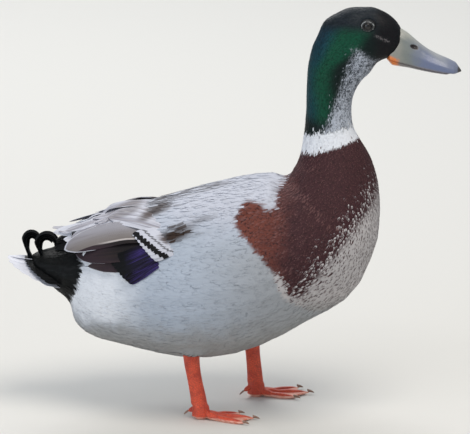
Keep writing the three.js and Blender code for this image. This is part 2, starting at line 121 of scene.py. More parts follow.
def split(vector):
    parts = vector.tree.nodes.new("ShaderNodeSeparateXYZ")
    connect(vector.tree, parts.inputs, {0: vector})
    return [Field(vector.tree, socket) for socket in parts.outputs]


def noise(where, scale, detail=2.0, stretch=None):
    if stretch:
        where = addNode(where.tree, "VectorMath", {0: where, 1: stretch}, operation="MULTIPLY")
    return addNode(where.tree, "TexNoise", {"Vector": where, "Scale": scale, "Detail": detail}, "Fac")


def bumped(height, strength, depth=0.3):
    return addNode(height.tree, "Bump", {"Strength": strength, "Distance": depth * mm, "Height": height})


def shaded(colour, shade):
    return addNode(shade.tree, "HueSaturation", {"Value": shade, "Color": colour})


def carried(tree, name):
    return addNode(tree, "Attribute", output="Fac", attribute_name=name)


def placeInMm(tree):
    spot = addNode(tree, "TexCoord", output="Object")
    return addNode(tree, "VectorMath", {0: spot, "Scale": 1000.0}, operation="SCALE")


def newGroup(title, inputs, outputs):
    tree = bpy.data.node_groups.new(title, "ShaderNodeTree")
    for name, value in inputs.items():
        socket = tree.interface.new_socket(name, in_out="INPUT", socket_type="NodeSocketFloat")
        socket.default_value = value
    for name, kind in outputs.items():
        tree.interface.new_socket(name, in_out="OUTPUT", socket_type="NodeSocket" + kind)
    given = tree.nodes.new("NodeGroupInput").outputs
    taken = tree.nodes.new("NodeGroupOutput").inputs
    return tree, {name: Field(tree, given[name]) for name in inputs}, taken


def useGroup(tree, group, **values):
    made = tree.nodes.new("ShaderNodeGroup")
    made.node_tree = group
    connect(tree, made.inputs, values)
    return {socket.name: Field(tree, socket) for socket in made.outputs}


def newMaterial(title, **fixed):
    look = bpy.data.materials.new(title)
    look.use_nodes = True
    shader = look.node_tree.nodes["Principled BSDF"]
    connect(look.node_tree, shader.inputs, fixed)
    return look, look.node_tree, shader.inputs


def tonesOf(paints):
    return {name: paint(value) for name, value in paints.items()}


# camera, lights and floor

studio = {
    "azimuth": 5.0,
    "elevation": 14.0,
    "distance": 8.0,
    "aim": (0.0009, 0.0, 0.1776),
    "frameWidth": 0.423,        # how wide a strip the camera sees at the bird
    "floor": "d9d8d4",
    "surround": "dfe4ea",
    "surroundStrength": 0.55,
}
softBoxes = [
    # name, place, size, power, tint
    ("keyBox", (0.5, -0.9, 2.3), 1.6, 36, "fff8ee"),
    ("fillBox", (-1.9, -2.2, 1.0), 2.2, 22, "dce6f5"),
    ("backBox", (-0.6, 1.7, 1.7), 1.6, 26, "ffffff"),
]


def addSoftBox(title, place, size, power, tint):
    lamp = bpy.data.lights.new(title, "AREA")
    lamp.shape = "DISK"
    lamp.size = size
    lamp.energy = power
    lamp.color = paint(tint)[:3]
    box = bpy.data.objects.new(title, lamp)
    box.location = place
    box.rotation_euler = (Vector(studio["aim"]) - Vector(place)).to_track_quat("-Z", "Y").to_euler()
    bpy.context.scene.collection.objects.link(box)


def setStudio():
    scene = bpy.context.scene
    scene.view_settings.view_transform = "Standard"
    turn = math.radians(studio["azimuth"])
    rise = math.radians(studio["elevation"])
    back = Vector((math.sin(turn) * math.cos(rise), -math.cos(turn) * math.cos(rise), math.sin(rise)))
    lens = bpy.data.cameras.new("studioCamera")
    lens.sensor_width = 36
    lens.lens = lens.sensor_width * studio["distance"] / studio["frameWidth"]
    lens.clip_end = 60
    camera = bpy.data.objects.new("studioCamera", lens)
    camera.location = Vector(studio["aim"]) + back * studio["distance"]
    camera.rotation_euler = (-back).to_track_quat("-Z", "Y").to_euler()
    scene.collection.objects.link(camera)
    scene.camera = camera
    for box in softBoxes:
        addSoftBox(*box)
    world = bpy.data.worlds.new("surround")
    world.use_nodes = True
    sky = world.node_tree.nodes["Background"]
    sky.inputs["Color"].default_value = paint(studio["surround"])
    sky.inputs["Strength"].default_value = studio["surroundStrength"]
    scene.world = world
    form = bmesh.new()
    bmesh.ops.create_grid(form, x_segments=4, y_segments=4, size=30)
    mesh = bpy.data.meshes.new("studioFloor")
    form.to_mesh(mesh)
    form.free()
    floor = bpy.data.objects.new("studioFloor", mesh)
    scene.collection.objects.link(floor)
    look, _, _ = newMaterial("palePaper", **{"Base Color": paint(studio["floor"]), "Roughness": 0.9})
    mesh.materials.append(look)


setStudio()
print("studio set")


# one feather's own pattern: barbs, shaft, pale rim and the spot that shows in the middle

spotShape = {"along": 0.84, "long": 0.42}       # its middle and its reach along the feather


def makeFeatherPattern():
    tree, given, out = newGroup(
        "featherPattern",
        {"Barbs": 26.0, "Slant": 3.0, "Slim": 2.4, "Rim": 0.3, "ShaftAt": 0.5},
        {"Height": "Float", "Rim": "Float", "Shaft": "Float", "Spot": "Float"},
    )
    u, along, _ = split(addNode(tree, "UVMap", uv_map="vane"))
    across = abs(u * 2 - 1)
    fromShaft = abs(u - given["ShaftAt"])
    ruffle = noise(placeInMm(tree), 0.35) * 1.5
    line = along * given["Barbs"] - fromShaft * given["Slant"] + ruffle
    wave = calc("SINE", line * (2 * math.pi))
    shaft = fromShaft.ramp(0.05, 0.01)
    toEdge = calc("MINIMUM", 1 - across, (1 - along) * given["Slim"])
    fromSpot = distance(across, (spotShape["along"] - along) / spotShape["long"])
    connect(tree, out, {
        "Height": wave * 0.35 + shaft,
        "Rim": (wave * 0.04 + toEdge).ramp(given["Rim"], 0.06),
        "Shaft": shaft,
        "Spot": wave * 0.05 + fromSpot,
    })
    return tree


# the drake's markings, from the masks that skin and feathers carry

plumagePaint = {
    "green": "0c4a35", "teal": "0c3f48", "blue": "123040", "crown": "1a2129", "lore": "100f14",
    "deepGreen": "081a19", "white": "bfc3cf", "bright": "e6eaf1", "flank": "b0bac8", "shadedBelly": "9a9b9c",
    "fleck": "8a8588", "chestnut": "40262a", "warm": "703d33", "dusk": "2c1c1f", "rose": "7d5a58",
    "pale": "bbb7b8", "blotch": "352822", "black": "040506", "blackGloss": "071312", "throat": "b6bdc9",
    "throatDark": "2f343b",
}
paintReach = {
    # from where a colour sets in to where it is full, in mm along the bird or up it
    "whiteBack": (178, 216), "shadedBelly": (122, 84), "foreFlank": (-50, 50), "foreFlankLow": (200, 172),
    "rearFlank": (-66, -112), "rearFlankHigh": (92, 118), "collar": (234, 240), "warmChest": (82, 42),
    "shadeBelow": (140, 108), "napeHigh": (316, 350), "neckLow": (284, 270), "crown": (354, 366),
    "lore": (122, 134), "throatLow": (305, 265),
}
lowCheek = (318, 342)       # over these heights the painted green sheen runs further forward
napeLine = (68, 318, 0.55)       # the nape's place, the height above which it leans forward, and how much
gleam = {"at": (134, 348), "slope": 0.45}       # a painted highlight: a thin pale streak between eye and bill


def makeDrakeMarkings():
    tree, given, out = newGroup(
        "drakeMarkings",
        {"Rim": 0.0, "Shaft": 0.0, "Spot": 0.4},
        {"Colour": "Color", "Metal": "Float", "Rough": "Float"},
    )
    tone = tonesOf(plumagePaint)
    names = ("tone", "grey", "blotch", "chest", "pale", "green", "throat", "black")
    mask = {name: carried(tree, name) for name in names}
    where = placeInMm(tree)
    x, _, z = split(where)
    broad = noise(where, 0.045, 3.0)
    fine = noise(where, 0.55, 4.0)
    hair = noise(where, 0.5, 3.0, stretch=(0.25, 1.0, 1.6))
    speckle = noise(where, 1.5, 4.0, stretch=(1.0, 1.0, 0.4))

    def onto(colour, amount, name):
        return blend(amount, colour, tone[name])

    def over(field, name):
        return field.ramp(*paintReach[name])

    # white ground: lighter towards the top of the back, blue grey on the flank, darker under the belly and
    # low on the fore flank, brightest on the rear flank; the bird's own pale greys carry painted light on
    # the top and painted shade down the flank and under the belly
    high = broad * 30 + z
    colour = onto(tone["flank"], over(high, "whiteBack"), "white")
    colour = onto(colour, over(high, "shadedBelly"), "shadedBelly")
    colour = onto(colour, over(x, "foreFlank") * over(high, "foreFlankLow") * 0.75, "shadedBelly")
    colour = onto(colour, over(x, "rearFlank") * over(high, "rearFlankHigh"), "bright")
    colour = onto(colour, over(z, "collar"), "bright")
    colour = onto(colour, hair.ramp(0.50, 0.72) * mask["grey"], "fleck")
    colour = onto(colour, mask["blotch"], "blotch")

    # chestnut breast: solid above, broken into streaks and then spots towards the front and below
    # towards the shoulder lobe the chestnut turns lighter and warmer: painted light on the lobe over the
    # breast's own chestnut
    chest = onto(tone["chestnut"], over(broad * 40 + x, "warmChest"), "warm")
    chest = onto(chest, fine.ramp(0.45, 0.75), "dusk")
    chest = onto(chest, given["Rim"] * 0.5, "rose")
    pale = (mask["tone"] - 0.5) * 0.5 + mask["pale"]
    pale = calc("MINIMUM", calc("MAXIMUM", pale, 0.0), 0.92)
    size = calc("POWER", pale, 0.6) * -1.36 + 1.52       # how much of a feather stays brown
    brown = given["Spot"].ramp(size + 0.14, size - 0.10)
    brown = calc("MAXIMUM", brown, pale.ramp(0.10, 0.02))
    light = onto(tone["fleck"], pale.ramp(0.2, 0.75), "pale")
    # painted shade: lower down the breast the pale flecks take the shaded belly tone
    light = onto(light, over(high, "shadeBelow"), "shadedBelly")
    colour = blend(mask["chest"], colour, blend(brown, light, chest))

    # head and neck: dark green with a bright green band behind the eye and down the side of the neck,
    # turning teal and blue at the nape and near black on crown and lores; the bright band and the teal and
    # blue are painted iridescent sheen, placed by position
    nape, leansAbove, lean = napeLine
    rear = x - nape - calc("MAXIMUM", z - leansAbove, 0.0) * lean + broad * 8
    head = onto(tone["green"], rear.ramp(17, 4), "teal")
    head = onto(head, over(z, "napeHigh") * rear.ramp(9, 0), "blue")
    head = onto(head, (rear - z.ramp(*lowCheek) * 14).ramp(17, 31), "deepGreen")
    head = onto(head, over(broad * 10 + z, "neckLow"), "deepGreen")
    head = onto(head, over(broad * 8 + z, "crown"), "crown")
    head = onto(head, over(x, "lore"), "lore")
    head = onto(head, fine.ramp(0.45, 0.72) * 0.5, "deepGreen")
    # painted highlight: the pale streak before the eye, broken by speckle
    ahead = x - gleam["at"][0]
    streak = abs(ahead * gleam["slope"] + z - gleam["at"][1]) + fine * 4
    streak = streak.ramp(4.6, 2.6) * abs(ahead).ramp(8, 5) * speckle.ramp(0.48, 0.60)
    head = onto(head, streak * 0.5, "fleck")
    speck = noise(where, 0.16) * 0.5 + mask["tone"] * 0.14 + speckle + over(z, "throatLow") * 0.07
    throat = onto(tone["throatDark"], speck.ramp(0.66, 0.94), "throat")
    head = blend(mask["throat"], head, throat)
    colour = blend(mask["green"], colour, head)

    # black rump with a faint green gloss
    dark = onto(tone["black"], fine.ramp(0.5, 0.8), "blackGloss")
    colour = blend(mask["black"], colour, dark)

    # each feather a shade of its own, lighter along its shaft
    varied = calc("MAXIMUM", mask["chest"], mask["green"]) * 0.16 + 0.05
    shade = (mask["tone"] - 0.5) * varied + 0.98 + given["Shaft"] * 0.04
    gloss = mask["green"] * (1 - mask["throat"])
    connect(tree, out, {
        "Colour": shaded(colour, shade),
        "Metal": calc("MAXIMUM", gloss * 0.3, mask["black"] * 0.2),
        "Rough": fine * 0.1 + 0.72 - calc("MAXIMUM", gloss, mask["black"]) * 0.26,
    })
    return tree


featherPattern = makeFeatherPattern()
drakeMarkings = makeDrakeMarkings()
matt = {"Specular IOR Level": 0.2}


def plumageMaterial(title, barbs, slant, slim, rim=0.3, relief=0.25):
    look, tree, shader = newMaterial(title, **matt)
    single = useGroup(tree, featherPattern, Barbs=barbs, Slant=slant, Slim=slim, Rim=rim)
    marks = useGroup(tree, drakeMarkings, **{name: single[name] for name in ("Rim", "Shaft", "Spot")})
    connect(tree, shader, {"Base Color": marks["Colour"], "Metallic": marks["Metal"],
                           "Roughness": marks["Rough"], "Normal": bumped(single["Height"], relief)})
    return look


# shape helpers

def formOf(names):
    form = bmesh.new()
    for name in names:
        form.from_mesh(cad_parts[name].data)
    return form


def mergedCopy(title, names):
    form = formOf(names)
    bmesh.ops.remove_doubles(form, verts=form.verts, dist=0.02 * mm)
    return standing(title, form)


def shown(title, mesh):
    piece = bpy.data.objects.new(title, mesh)
    bpy.context.scene.collection.objects.link(piece)
    return piece


def standing(title, form):
    mesh = bpy.data.meshes.new(title)
    form.to_mesh(mesh)
    form.free()
    return shown(title, mesh)


def settle(piece):
    graph = bpy.context.evaluated_depsgraph_get()
    mesh = bpy.data.meshes.new_from_object(piece.evaluated_get(graph))
    piece.modifiers.clear()
    piece.data = mesh
    mesh.name = piece.name


def remeshed(piece, voxel, rounds, swell=0.0):
    remesh = piece.modifiers.new("remesh", "REMESH")
    remesh.mode = "VOXEL"
    remesh.voxel_size = voxel * mm
    remesh.use_smooth_shade = True
    smooth = piece.modifiers.new("smooth", "SMOOTH")
    smooth.factor = 0.5
    smooth.iterations = rounds
    if swell:                 # gives back what the smoothing takes off
        fill = piece.modifiers.new("swell", "DISPLACE")
        fill.strength = swell * mm
        fill.mid_level = 0
    settle(piece)
    return piece


def pointField(mesh, name):
    flat = np.empty(len(mesh.vertices) * 3, np.float32)
    mesh.vertices.foreach_get(name, flat)
    return flat.reshape(-1, 3).astype(float)


def places(mesh):
    return pointField(mesh, "co") / mm


def setPlaces(mesh, spots):
    mesh.vertices.foreach_set("co", (spots * mm).astype(np.float32).ravel())


def facings(mesh):
    return pointField(mesh, "normal")


def treeOver(spots, faces):
    return BVHTree.FromPolygons([Vector(spot) for spot in spots], [tuple(face) for face in faces])


def easedAbove(piece, low, high, rounds):
    heights = places(piece.data)[:, 2]
    group = piece.vertex_groups.new(name="eased")
    for index, weight in enumerate(np.clip((heights - low) / (high - low), 0, 1).tolist()):
        if weight > 0:
            group.add([index], weight, "REPLACE")
    ease = piece.modifiers.new("ease", "SMOOTH")
    ease.factor = 0.5
    ease.iterations = rounds
    ease.vertex_group = "eased"
    settle(piece)
    piece.vertex_groups.clear()
    return piece


def unit(vectors):
    return vectors / np.maximum(np.linalg.norm(vectors, axis=-1, keepdims=True), 1e-9)


def soft(value, width):
    t = np.clip(value / (2 * width) + 0.5, 0, 1)
    return t * t * (3 - 2 * t)


def finishPiece(piece, look, slot, *nodes):
    piece.data.materials.clear()
    piece.data.materials.append(look)
    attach(piece, "root")
    if nodes:
        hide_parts(*nodes)
    return piece


# the lie of the coat: at each place, in mm, the way the feathers point and how long they are

coatLie = [
    # place x, |y|, z      direction            length
    ((140, 8, 343), (-1, 0.30, 0.20), 2.0),      # base of the bill
    ((138, 0, 356), (-1, 0, 0.35), 2.2),         # forehead
    ((120, 0, 372), (-1, 0, 0), 3.6),            # crown
    ((98, 0, 362), (-0.8, 0, -0.6), 4.2),
    ((80, 0, 335), (-0.35, 0, -0.94), 4.6),      # nape
    ((63, 0, 300), (0, 0, -1), 5.2),
    ((121, 16, 350), (-1, 0, -0.1), 3.0),        # beside the eye
    ((110, 19, 340), (-0.85, 0, -0.5), 3.8),     # cheek
    ((130, 12, 332), (-0.9, 0.1, -0.3), 2.4),
    ((118, 0, 322), (-0.75, 0, -0.65), 3.6),     # chin and throat
    ((103, 0, 300), (-0.2, 0, -1), 4.4),
    ((85, 20, 290), (-0.05, 0, -1), 4.8),        # side of the neck
    ((85, 22, 260), (0, 0, -1), 5.6),
    ((62, 0, 255), (-0.15, 0, -1), 6.0),
    ((108, 0, 257), (0.1, 0, -1), 6.0),
    ((50, 0, 226), (-0.6, 0, -0.8), 8.0),        # breast
    ((72, 45, 215), (-0.3, 0.1, -0.95), 7.5),
    ((120, 30, 212), (0.1, 0.1, -1), 7.5),
    ((135, 0, 180), (0, 0, -1), 8.5),
    ((112, 55, 170), (-0.35, 0.15, -0.92), 8.5),
    ((76, 78, 165), (-0.75, 0.1, -0.65), 10),
    ((32, 80, 182), (-0.9, 0, -0.45), 11),
    ((10, 60, 202), (-0.95, 0, -0.35), 13),
    ((125, 0, 140), (-0.45, 0, -0.9), 10),
    ((95, 50, 120), (-0.85, 0.1, -0.5), 12),
    ((90, 0, 100), (-0.95, 0, -0.3), 13),
    ((20, 0, 62), (-1, 0, 0), 16),               # belly
    ((20, 60, 90), (-1, 0, -0.05), 17),
    ((0, 85, 140), (-1, 0, 0), 19),              # flank
    ((-60, 80, 130), (-1, 0, 0.05), 20),
    ((-110, 60, 110), (-1, 0, 0.2), 18),
    ((-110, 0, 75), (-1, 0, 0.45), 16),          # vent
    ((-140, 30, 100), (-0.9, 0, 0.5), 13),
    ((40, 0, 215), (-1, 0, -0.1), 15),           # back
    ((-40, 0, 210), (-1, 0, -0.1), 20),
    ((-120, 0, 180), (-1, 0, -0.2), 20),
    ((-20, 60, 190), (-1, 0.05, -0.22), 18),     # wing
    ((-75, 38, 186), (-1, 0, -0.18), 24),
    ((-30, 70, 172), (-1, 0, -0.3), 14),
    ((-160, 0, 155), (-1, 0, -0.1), 15),         # tail coverts
    ((-168, 12, 142), (-1, 0, -0.1), 19),
    ((-165, 25, 130), (-1, -0.05, 0.05), 21),
    ((0, 50, 70), (-0.4, 0, -0.92), 11),         # thigh
]
liePlaces = np.array([row[0] for row in coatLie], float)
lieWays = unit(np.array([row[1] for row in coatLie], float))
lieLengths = np.array([row[2] for row in coatLie], float)


lieBlur = 20       # square mm that soften the pull of the nearest place


def coatAt(points):
    mirrored = points * (1, 0, 1) + np.abs(points) * (0, 1, 0)
    gap = ((mirrored[:, None, :] - liePlaces[None]) ** 2).sum(2) + lieBlur
    share = gap ** -2
    share /= share.sum(1, keepdims=True)
    way = share @ lieWays
    way[:, 1] *= np.sign(points[:, 1])
    return way, share @ lieLengths


# where each marking lies, in mm, seen from the side

chestOutline = [
    (44, 245), (46, 216), (41, 209), (41, 199), (33, 197), (26, 203), (15, 204), (8, 197), (5, 188),
    (11, 180), (21, 170), (32, 159), (41, 148), (45, 137), (50, 122), (70, 106), (98, 94),
    (170, 85), (170, 270), (44, 270),
]
blotches = [
    # x, z, half length, half height, strength
    (-69, 188.5, 15, 3.8, 0.9), (-48, 175, 18, 6.4, 1.0), (-25, 188, 14, 2.4, 0.4), (-96, 186, 20, 3.0, 0.5),
]
blotchTilt = 0.35


def insideBy(x, z, outline):
    corners = np.array(outline, float)
    ends = np.roll(corners, -1, axis=0)
    nearest = np.full(len(x), np.inf)
    inside = np.zeros(len(x), bool)
    for (ax, az), (bx, bz) in zip(corners, ends):
        dx, dz = bx - ax, bz - az
        run = np.clip(((x - ax) * dx + (z - az) * dz) / (dx ** 2 + dz ** 2), 0, 1)
        nearest = np.minimum(nearest, np.hypot(x - ax - run * dx, z - az - run * dz))
        if az != bz:
            crosses = (az > z) != (bz > z)
            inside ^= crosses & (x < dx * (z - az) / dz + ax)
    return np.where(inside, nearest, -nearest)


borders = {
    # place of a border, where on the other axis it holds, and how far it moves per mm of that axis
    "collarTop": (261, 85, 0.2), "collarLow": (246, 85, 0.28), "throatBack": (86, 269, 0.34),
    "throatTop": (338, 112, -0.75), "rump": (-136, 128, 0.35),
    "paleFrom": (96, 173), "paleWay": (0.78, 0.62),       # x and z on its slanting border, then its slope
    "paleBelow": 128, "paleRim": 8, "paleRimTop": 150, "rumpTop": 166, "greyBelow": 110,
    "spine": {"half": 12, "rear": -118, "front": -6, "low": 178, "strength": 0.6},
}


def borderAt(name, other):
    place, start, slope = borders[name]
    return place + slope * (other - start)


def markings(points, wander):      # wander frays the borders, feather by feather
    x, y, z = points.T
    green = soft(z + 1.9 * wander - borderAt("collarTop", x), 1.2)
    throatTop = borderAt("throatTop", np.maximum(x, borders["throatTop"][1]))
    throat = soft(x + 2.4 * wander - borderAt("throatBack", z), 4) * green
    throat = throat * soft(throatTop + 2 * wander - z, 5)
    inChest = insideBy(x, z, chestOutline)
    chest = soft(inChest + 1.3 * wander, 2) * soft(borderAt("collarLow", x) + 1.4 * wander - z, 1.2)
    paleX, paleZ = borders["paleFrom"]
    ahead, down = borders["paleWay"]
    slope = (x - paleX) * ahead - (z - paleZ) * down
    pale = np.maximum(soft(slope + 4 * wander, 22), 0.9 * soft(borders["paleBelow"] + 2 * wander - z, 12))
    rim = soft(borders["paleRim"] - inChest + 1.5 * wander, 5) * soft(borders["paleRimTop"] - z, 10)
    pale = np.maximum(pale, rim)
    rumpEdge = borderAt("rump", np.minimum(z, borders["rump"][1]))
    black = soft(rumpEdge + 0.8 * wander - x, 1.2) * soft(borders["rumpTop"] - z, 3)
    blotch = np.zeros(len(x))
    for bx, bz, long, tall, strength in blotches:
        far = np.hypot((x - bx) / long, (z - bz - blotchTilt * (x - bx)) / tall)
        blotch = np.maximum(blotch, strength * soft(0.85 - far + 0.16 * wander, 0.6))
    back = borders["spine"]
    spine = soft(back["half"] - np.abs(y), 7) * soft(x - back["rear"], 12) * soft(back["front"] - x, 14)
    spine = spine * soft(z - back["low"], 4) * soft(wander + 0.3, 0.8)
    blotch = np.maximum(blotch, back["strength"] * spine)
    grey = 0.15 + 0.2 * soft(borders["greyBelow"] - z, 15)
    return {"green": green, "throat": throat, "chest": chest, "pale": pale, "black": black,
            "blotch": blotch, "grey": grey}


def carry(mesh, marks):
    for name, values in marks.items():
        field = mesh.attributes.new(name, "FLOAT", "POINT")
        field.data.foreach_set("value", np.ascontiguousarray(values, np.float32))


# the skin: one closed form under the whole coat

skinShape = {
    "voxel": 2.0, "depth": 0.35, "depthShare": 0.045,       # how deep it lies, and per mm of feather
    "crown": 2.3, "crownAt": 352, "occiput": 1.0, "occiputAt": 108,       # deeper there, and from where
    "easing": [(18, -2.0, -1.0), (85, 232.0, 262.0)],       # rounds, and the heights where they take hold
    "giveBack": 0.75, "tone": 0.4,
}
fleshNodes = ["head", "neck", "breast", "trunk", "tail_coverts", "thigh_left", "thigh_right"]
fleshNodes += [f"wing_{side}_{tract}" for side in sides for tract in wingTracts[:-1]]


def makeSkin():
    piece = remeshed(mergedCopy("skin", fleshNodes), skinShape["voxel"], 1)
    for rounds, low, high in skinShape["easing"]:
        once = places(easedAbove(piece, low, high, rounds).data)
        twice = places(easedAbove(piece, low, high, rounds).data)
        full = once + skinShape["giveBack"] * (once - twice)       # most of what the smoothing takes off
        setPlaces(piece.data, full)
    mesh = piece.data
    mesh.update()
    spots = places(mesh)
    depth = skinShape["depth"] + skinShape["depthShare"] * coatAt(spots)[1]
    behind = soft(skinShape["occiputAt"] - spots[:, 0], 20)
    crown = soft(spots[:, 2] - skinShape["crownAt"], 10)
    depth -= crown * (skinShape["crown"] + skinShape["occiput"] * behind)
    spots -= facings(mesh) * depth[:, None]
    setPlaces(mesh, spots)
    mesh.update()
    carry(mesh, {**markings(spots, np.zeros(len(spots))), "tone": np.full(len(spots), skinShape["tone"])})
    bpy.context.view_layer.objects.active = piece
    piece.select_set(True)
    bpy.ops.object.mode_set(mode="EDIT")
    bpy.ops.mesh.select_all(action="SELECT")
    bpy.ops.uv.smart_project(angle_limit=math.radians(60), island_margin=0.004)
    bpy.ops.object.mode_set(mode="OBJECT")
    mesh.uv_layers[0].name = "OFBake"
    look, tree, shader = newMaterial("feltedSkin", **matt)
    marks = useGroup(tree, drakeMarkings)
    grain = noise(placeInMm(tree), 1.2, 3.0)
    connect(tree, shader, {"Base Color": marks["Colour"], "Roughness": marks["Rough"],
                           "Normal": bumped(grain, 0.3, 0.4)})
    return finishPiece(piece, look, "plumage_white", *fleshNodes)


skin = makeSkin()
skinSpots = places(skin.data)
skinFacings = facings(skin.data)
skinFaces = [tuple(face.vertices) for face in skin.data.polygons]
skinTree = treeOver(skinSpots, skinFaces)
faceFacings = unit(np.array([skinFacings[list(face)].mean(0) for face in skinFaces]))
print("skin made:", len(skinFaces), "faces")


def onSkin(points):
    spots = np.empty_like(points)
    faces = np.empty(len(points), int)
    for i, point in enumerate(points):
        spot, _, faces[i], _ = skinTree.find_nearest(point)
        spots[i] = spot
    return spots, faceFacings[faces], faces


def treeOf(names):
    form = formOf(names)
    bmesh.ops.scale(form, vec=(1 / mm,) * 3, verts=form.verts)
    tree = BVHTree.FromBMesh(form)
    form.free()
    return tree


# feathers: each is a closed thin vane, arched over its shaft, laid along a line on the skin

# a blunt end's curve, then, as shares of the length, where it is widest and where a taper sets in
vaneForm = {"blunt": 0.97, "widest": 0.6, "taperFrom": 0.5, "liftCurve": 1.5}


def vanePoints(course, size, shape):      # where the points lie, which way is up there, and one vane's grid
    line, across, up = course
    count, steps = line.shape[:2]
    rows, columns = shape["rows"], shape["columns"]
    u = np.linspace(-1, 1, columns + 1)
    v = np.linspace(0, 1, rows + 1)
    end = np.clip(1 - vaneForm["blunt"] * np.abs(u) ** shape.get("point", 2), 0, 1)
    reach = 1 - shape["round"] * (1 - np.sqrt(end))
    reach = reach[None] - shape["fray"] * chance.random((count, columns + 1)) ** 2
    share = v[None, :, None] * reach[:, None, :]
    spot = share * (steps - 1)
    low = np.clip(np.floor(spot).astype(int), 0, steps - 2)
    part = (spot - low)[..., None]
    which = np.arange(count)[:, None, None]

    def along(field):
        return field[which, low] * (1 - part) + field[which, low + 1] * part

    names = ("half", "bend", "low", "high", "lift")
    half, bend, lowest, highest, lift = (size[name][:, None, None] for name in names)
    base = shape.get("base", 0.5)
    width = half * (base + (1 - base) * np.sin(np.clip(share / vaneForm["widest"], 0, 1) * math.pi / 2))
    late = np.clip((share - vaneForm["taperFrom"]) / (1 - vaneForm["taperFrom"]), 0, 1)
    width = width * (1 - shape.get("taper", 0.0) * late)
    sideways = u[None, None, :] * width
    height = lowest + (highest - lowest) * share + lift * share ** vaneForm["liftCurve"]
    height = height + shape["arch"] * width * (1 - u[None, None, :] ** 2) - sideways ** 2 / (2 * bend)
    upward = along(up)
    points = along(line) + along(across) * sideways[..., None] + upward * height[..., None]
    grid = np.stack(np.broadcast_arrays((u[None, :] + 1) / 2, v[:, None]), -1).reshape(-1, 2)
    if "thick" in shape:
        points = np.concatenate([points, points - upward * shape["thick"]], axis=1)
        upward = np.concatenate([upward, upward], axis=1)
        grid = np.vstack([grid, grid])
    return points.reshape(-1, 3), upward.reshape(-1, 3), grid


def mapVanes(mesh, corners, below, grid, bake, flip):
    vaneUv = np.tile(grid, (len(bake["at"]), 1))
    bakeUv = np.repeat(bake["at"], len(grid), axis=0) + bake["patch"] * (vaneUv - 0.5)
    if flip:                  # so that one pattern serves both sides of the bird
        vaneUv = np.column_stack([1 - vaneUv[:, 0], vaneUv[:, 1]])
    for name, uv, shift in (("OFBake", bakeUv, bake.get("under", 0.0)), ("vane", vaneUv, 0.0)):
        layer = mesh.uv_layers.new(name=name)
        placed = uv[corners]
        placed[:, 0] += shift * below
        layer.data.foreach_set("uv", placed.astype(np.float32).ravel())


def layFeathers(title, course, size, shape, bake, marks, paintAt=None, calm=0.5, flip=False):
    points, upward, grid = vanePoints(course, size, shape)
    perFeather = len(grid)
    build = backedFaces if "thick" in shape else closedFaces
    faces, topFaces = build(shape["rows"], shape["columns"])
    mesh, corners, below = repeatedMesh(title, points, faces, len(course[0]), topFaces)
    mapVanes(mesh, corners, below, grid, bake, flip)
    fields = {name: np.repeat(values, perFeather) for name, values in marks.items()}
    if paintAt:
        fields.update(paintAt(points, perFeather))
    carry(mesh, fields)
    own = facings(mesh)       # the light sees the coat's form more than each feather's own
    blended = unit(own * (1 - calm) + unit(upward) * calm)[corners]
    blended[below] = 0
    mesh.normals_split_custom_set(blended.astype(np.float32))
    return shown(title, mesh)


def topGrid(rows, columns):
    stride = columns + 1
    starts = [r * stride + c for r in range(rows) for c in range(columns)]
    return [(a, a + stride, a + stride + 1, a + 1) for a in starts]


def closedFaces(rows, columns):      # a feather of the coat: its underside is drawn straight across
    stride = columns + 1
    faces = topGrid(rows, columns)
    topFaces = len(faces)
    for a in range(0, (rows - 1) * stride, stride):
        faces.append((a, a + columns, a + stride + columns, a + stride))
    a = (rows - 1) * stride
    faces.append((a, a + columns, *range(a + stride + columns, a + stride - 1, -1)))
    faces.append(tuple(range(stride)))
    return faces, topFaces


def backedFaces(rows, columns):      # a long vane: its underside follows its top
    stride = columns + 1
    under = (rows + 1) * stride
    faces = topGrid(rows, columns)
    topFaces = len(faces)
    faces += [tuple(corner + under for corner in reversed(face)) for face in faces]
    rim = [(r * stride, (r + 1) * stride) for r in range(rows)]
    rim += [(rows * stride + c, rows * stride + c + 1) for c in range(columns)]
    rim += [((r + 1) * stride + columns, r * stride + columns) for r in range(rows)]
    rim += [(c + 1, c) for c in range(columns)]
    faces += [(q, p, p + under, q + under) for p, q in rim]
    return faces, topFaces


def repeatedMesh(title, points, faces, count, topFaces):
    perCopy = len(points) // count
    corners = np.concatenate([np.array(face) for face in faces])
    sizes = np.array([len(face) for face in faces])
    allCorners = (corners[None] + perCopy * np.arange(count)[:, None]).ravel()
    starts = np.concatenate([[0], np.cumsum(np.tile(sizes, count))[:-1]])
    mesh = bpy.data.meshes.new(title)
    mesh.vertices.add(len(points))
    setPlaces(mesh, points)
    mesh.loops.add(len(allCorners))
    mesh.loops.foreach_set("vertex_index", allCorners.astype(np.int32))
    mesh.polygons.add(len(faces) * count)
    mesh.polygons.foreach_set("loop_start", starts.astype(np.int32))
    mesh.update(calc_edges=True)
    flat = np.tile(np.arange(len(faces)) >= topFaces, count)
    mesh.polygons.foreach_set("use_smooth", ~flat)
    mesh.validate()
    below = np.tile(np.repeat(np.arange(len(faces)) >= topFaces, sizes), count)
    return mesh, allCorners, below


def framed(line, up):
    ahead = unit(np.gradient(line, axis=1))
    across = unit(np.cross(up, ahead))
    return across, np.cross(ahead, across)


def lieLine(roots, lengths, turn, steps, cling, forward=0.0):
    at, up, _ = onSkin(roots)
    at = at - coatAt(at)[0] * forward
    line, ups = [at], [up]
    for _ in range(steps):
        ahead = coatAt(at)[0]
        ahead = unit(ahead - up * (ahead * up).sum(1, keepdims=True))
        ahead = unit(ahead + np.cross(up, ahead) * turn[:, None])
        onward = line[-1] + ahead * (lengths / steps)[:, None]
        at, up, _ = onSkin(onward)
        line.append(onward + (at - onward) * cling[:, None])
        ups.append(up)
    return np.stack(line, 1), np.stack(ups, 1)


# where the feathers grow

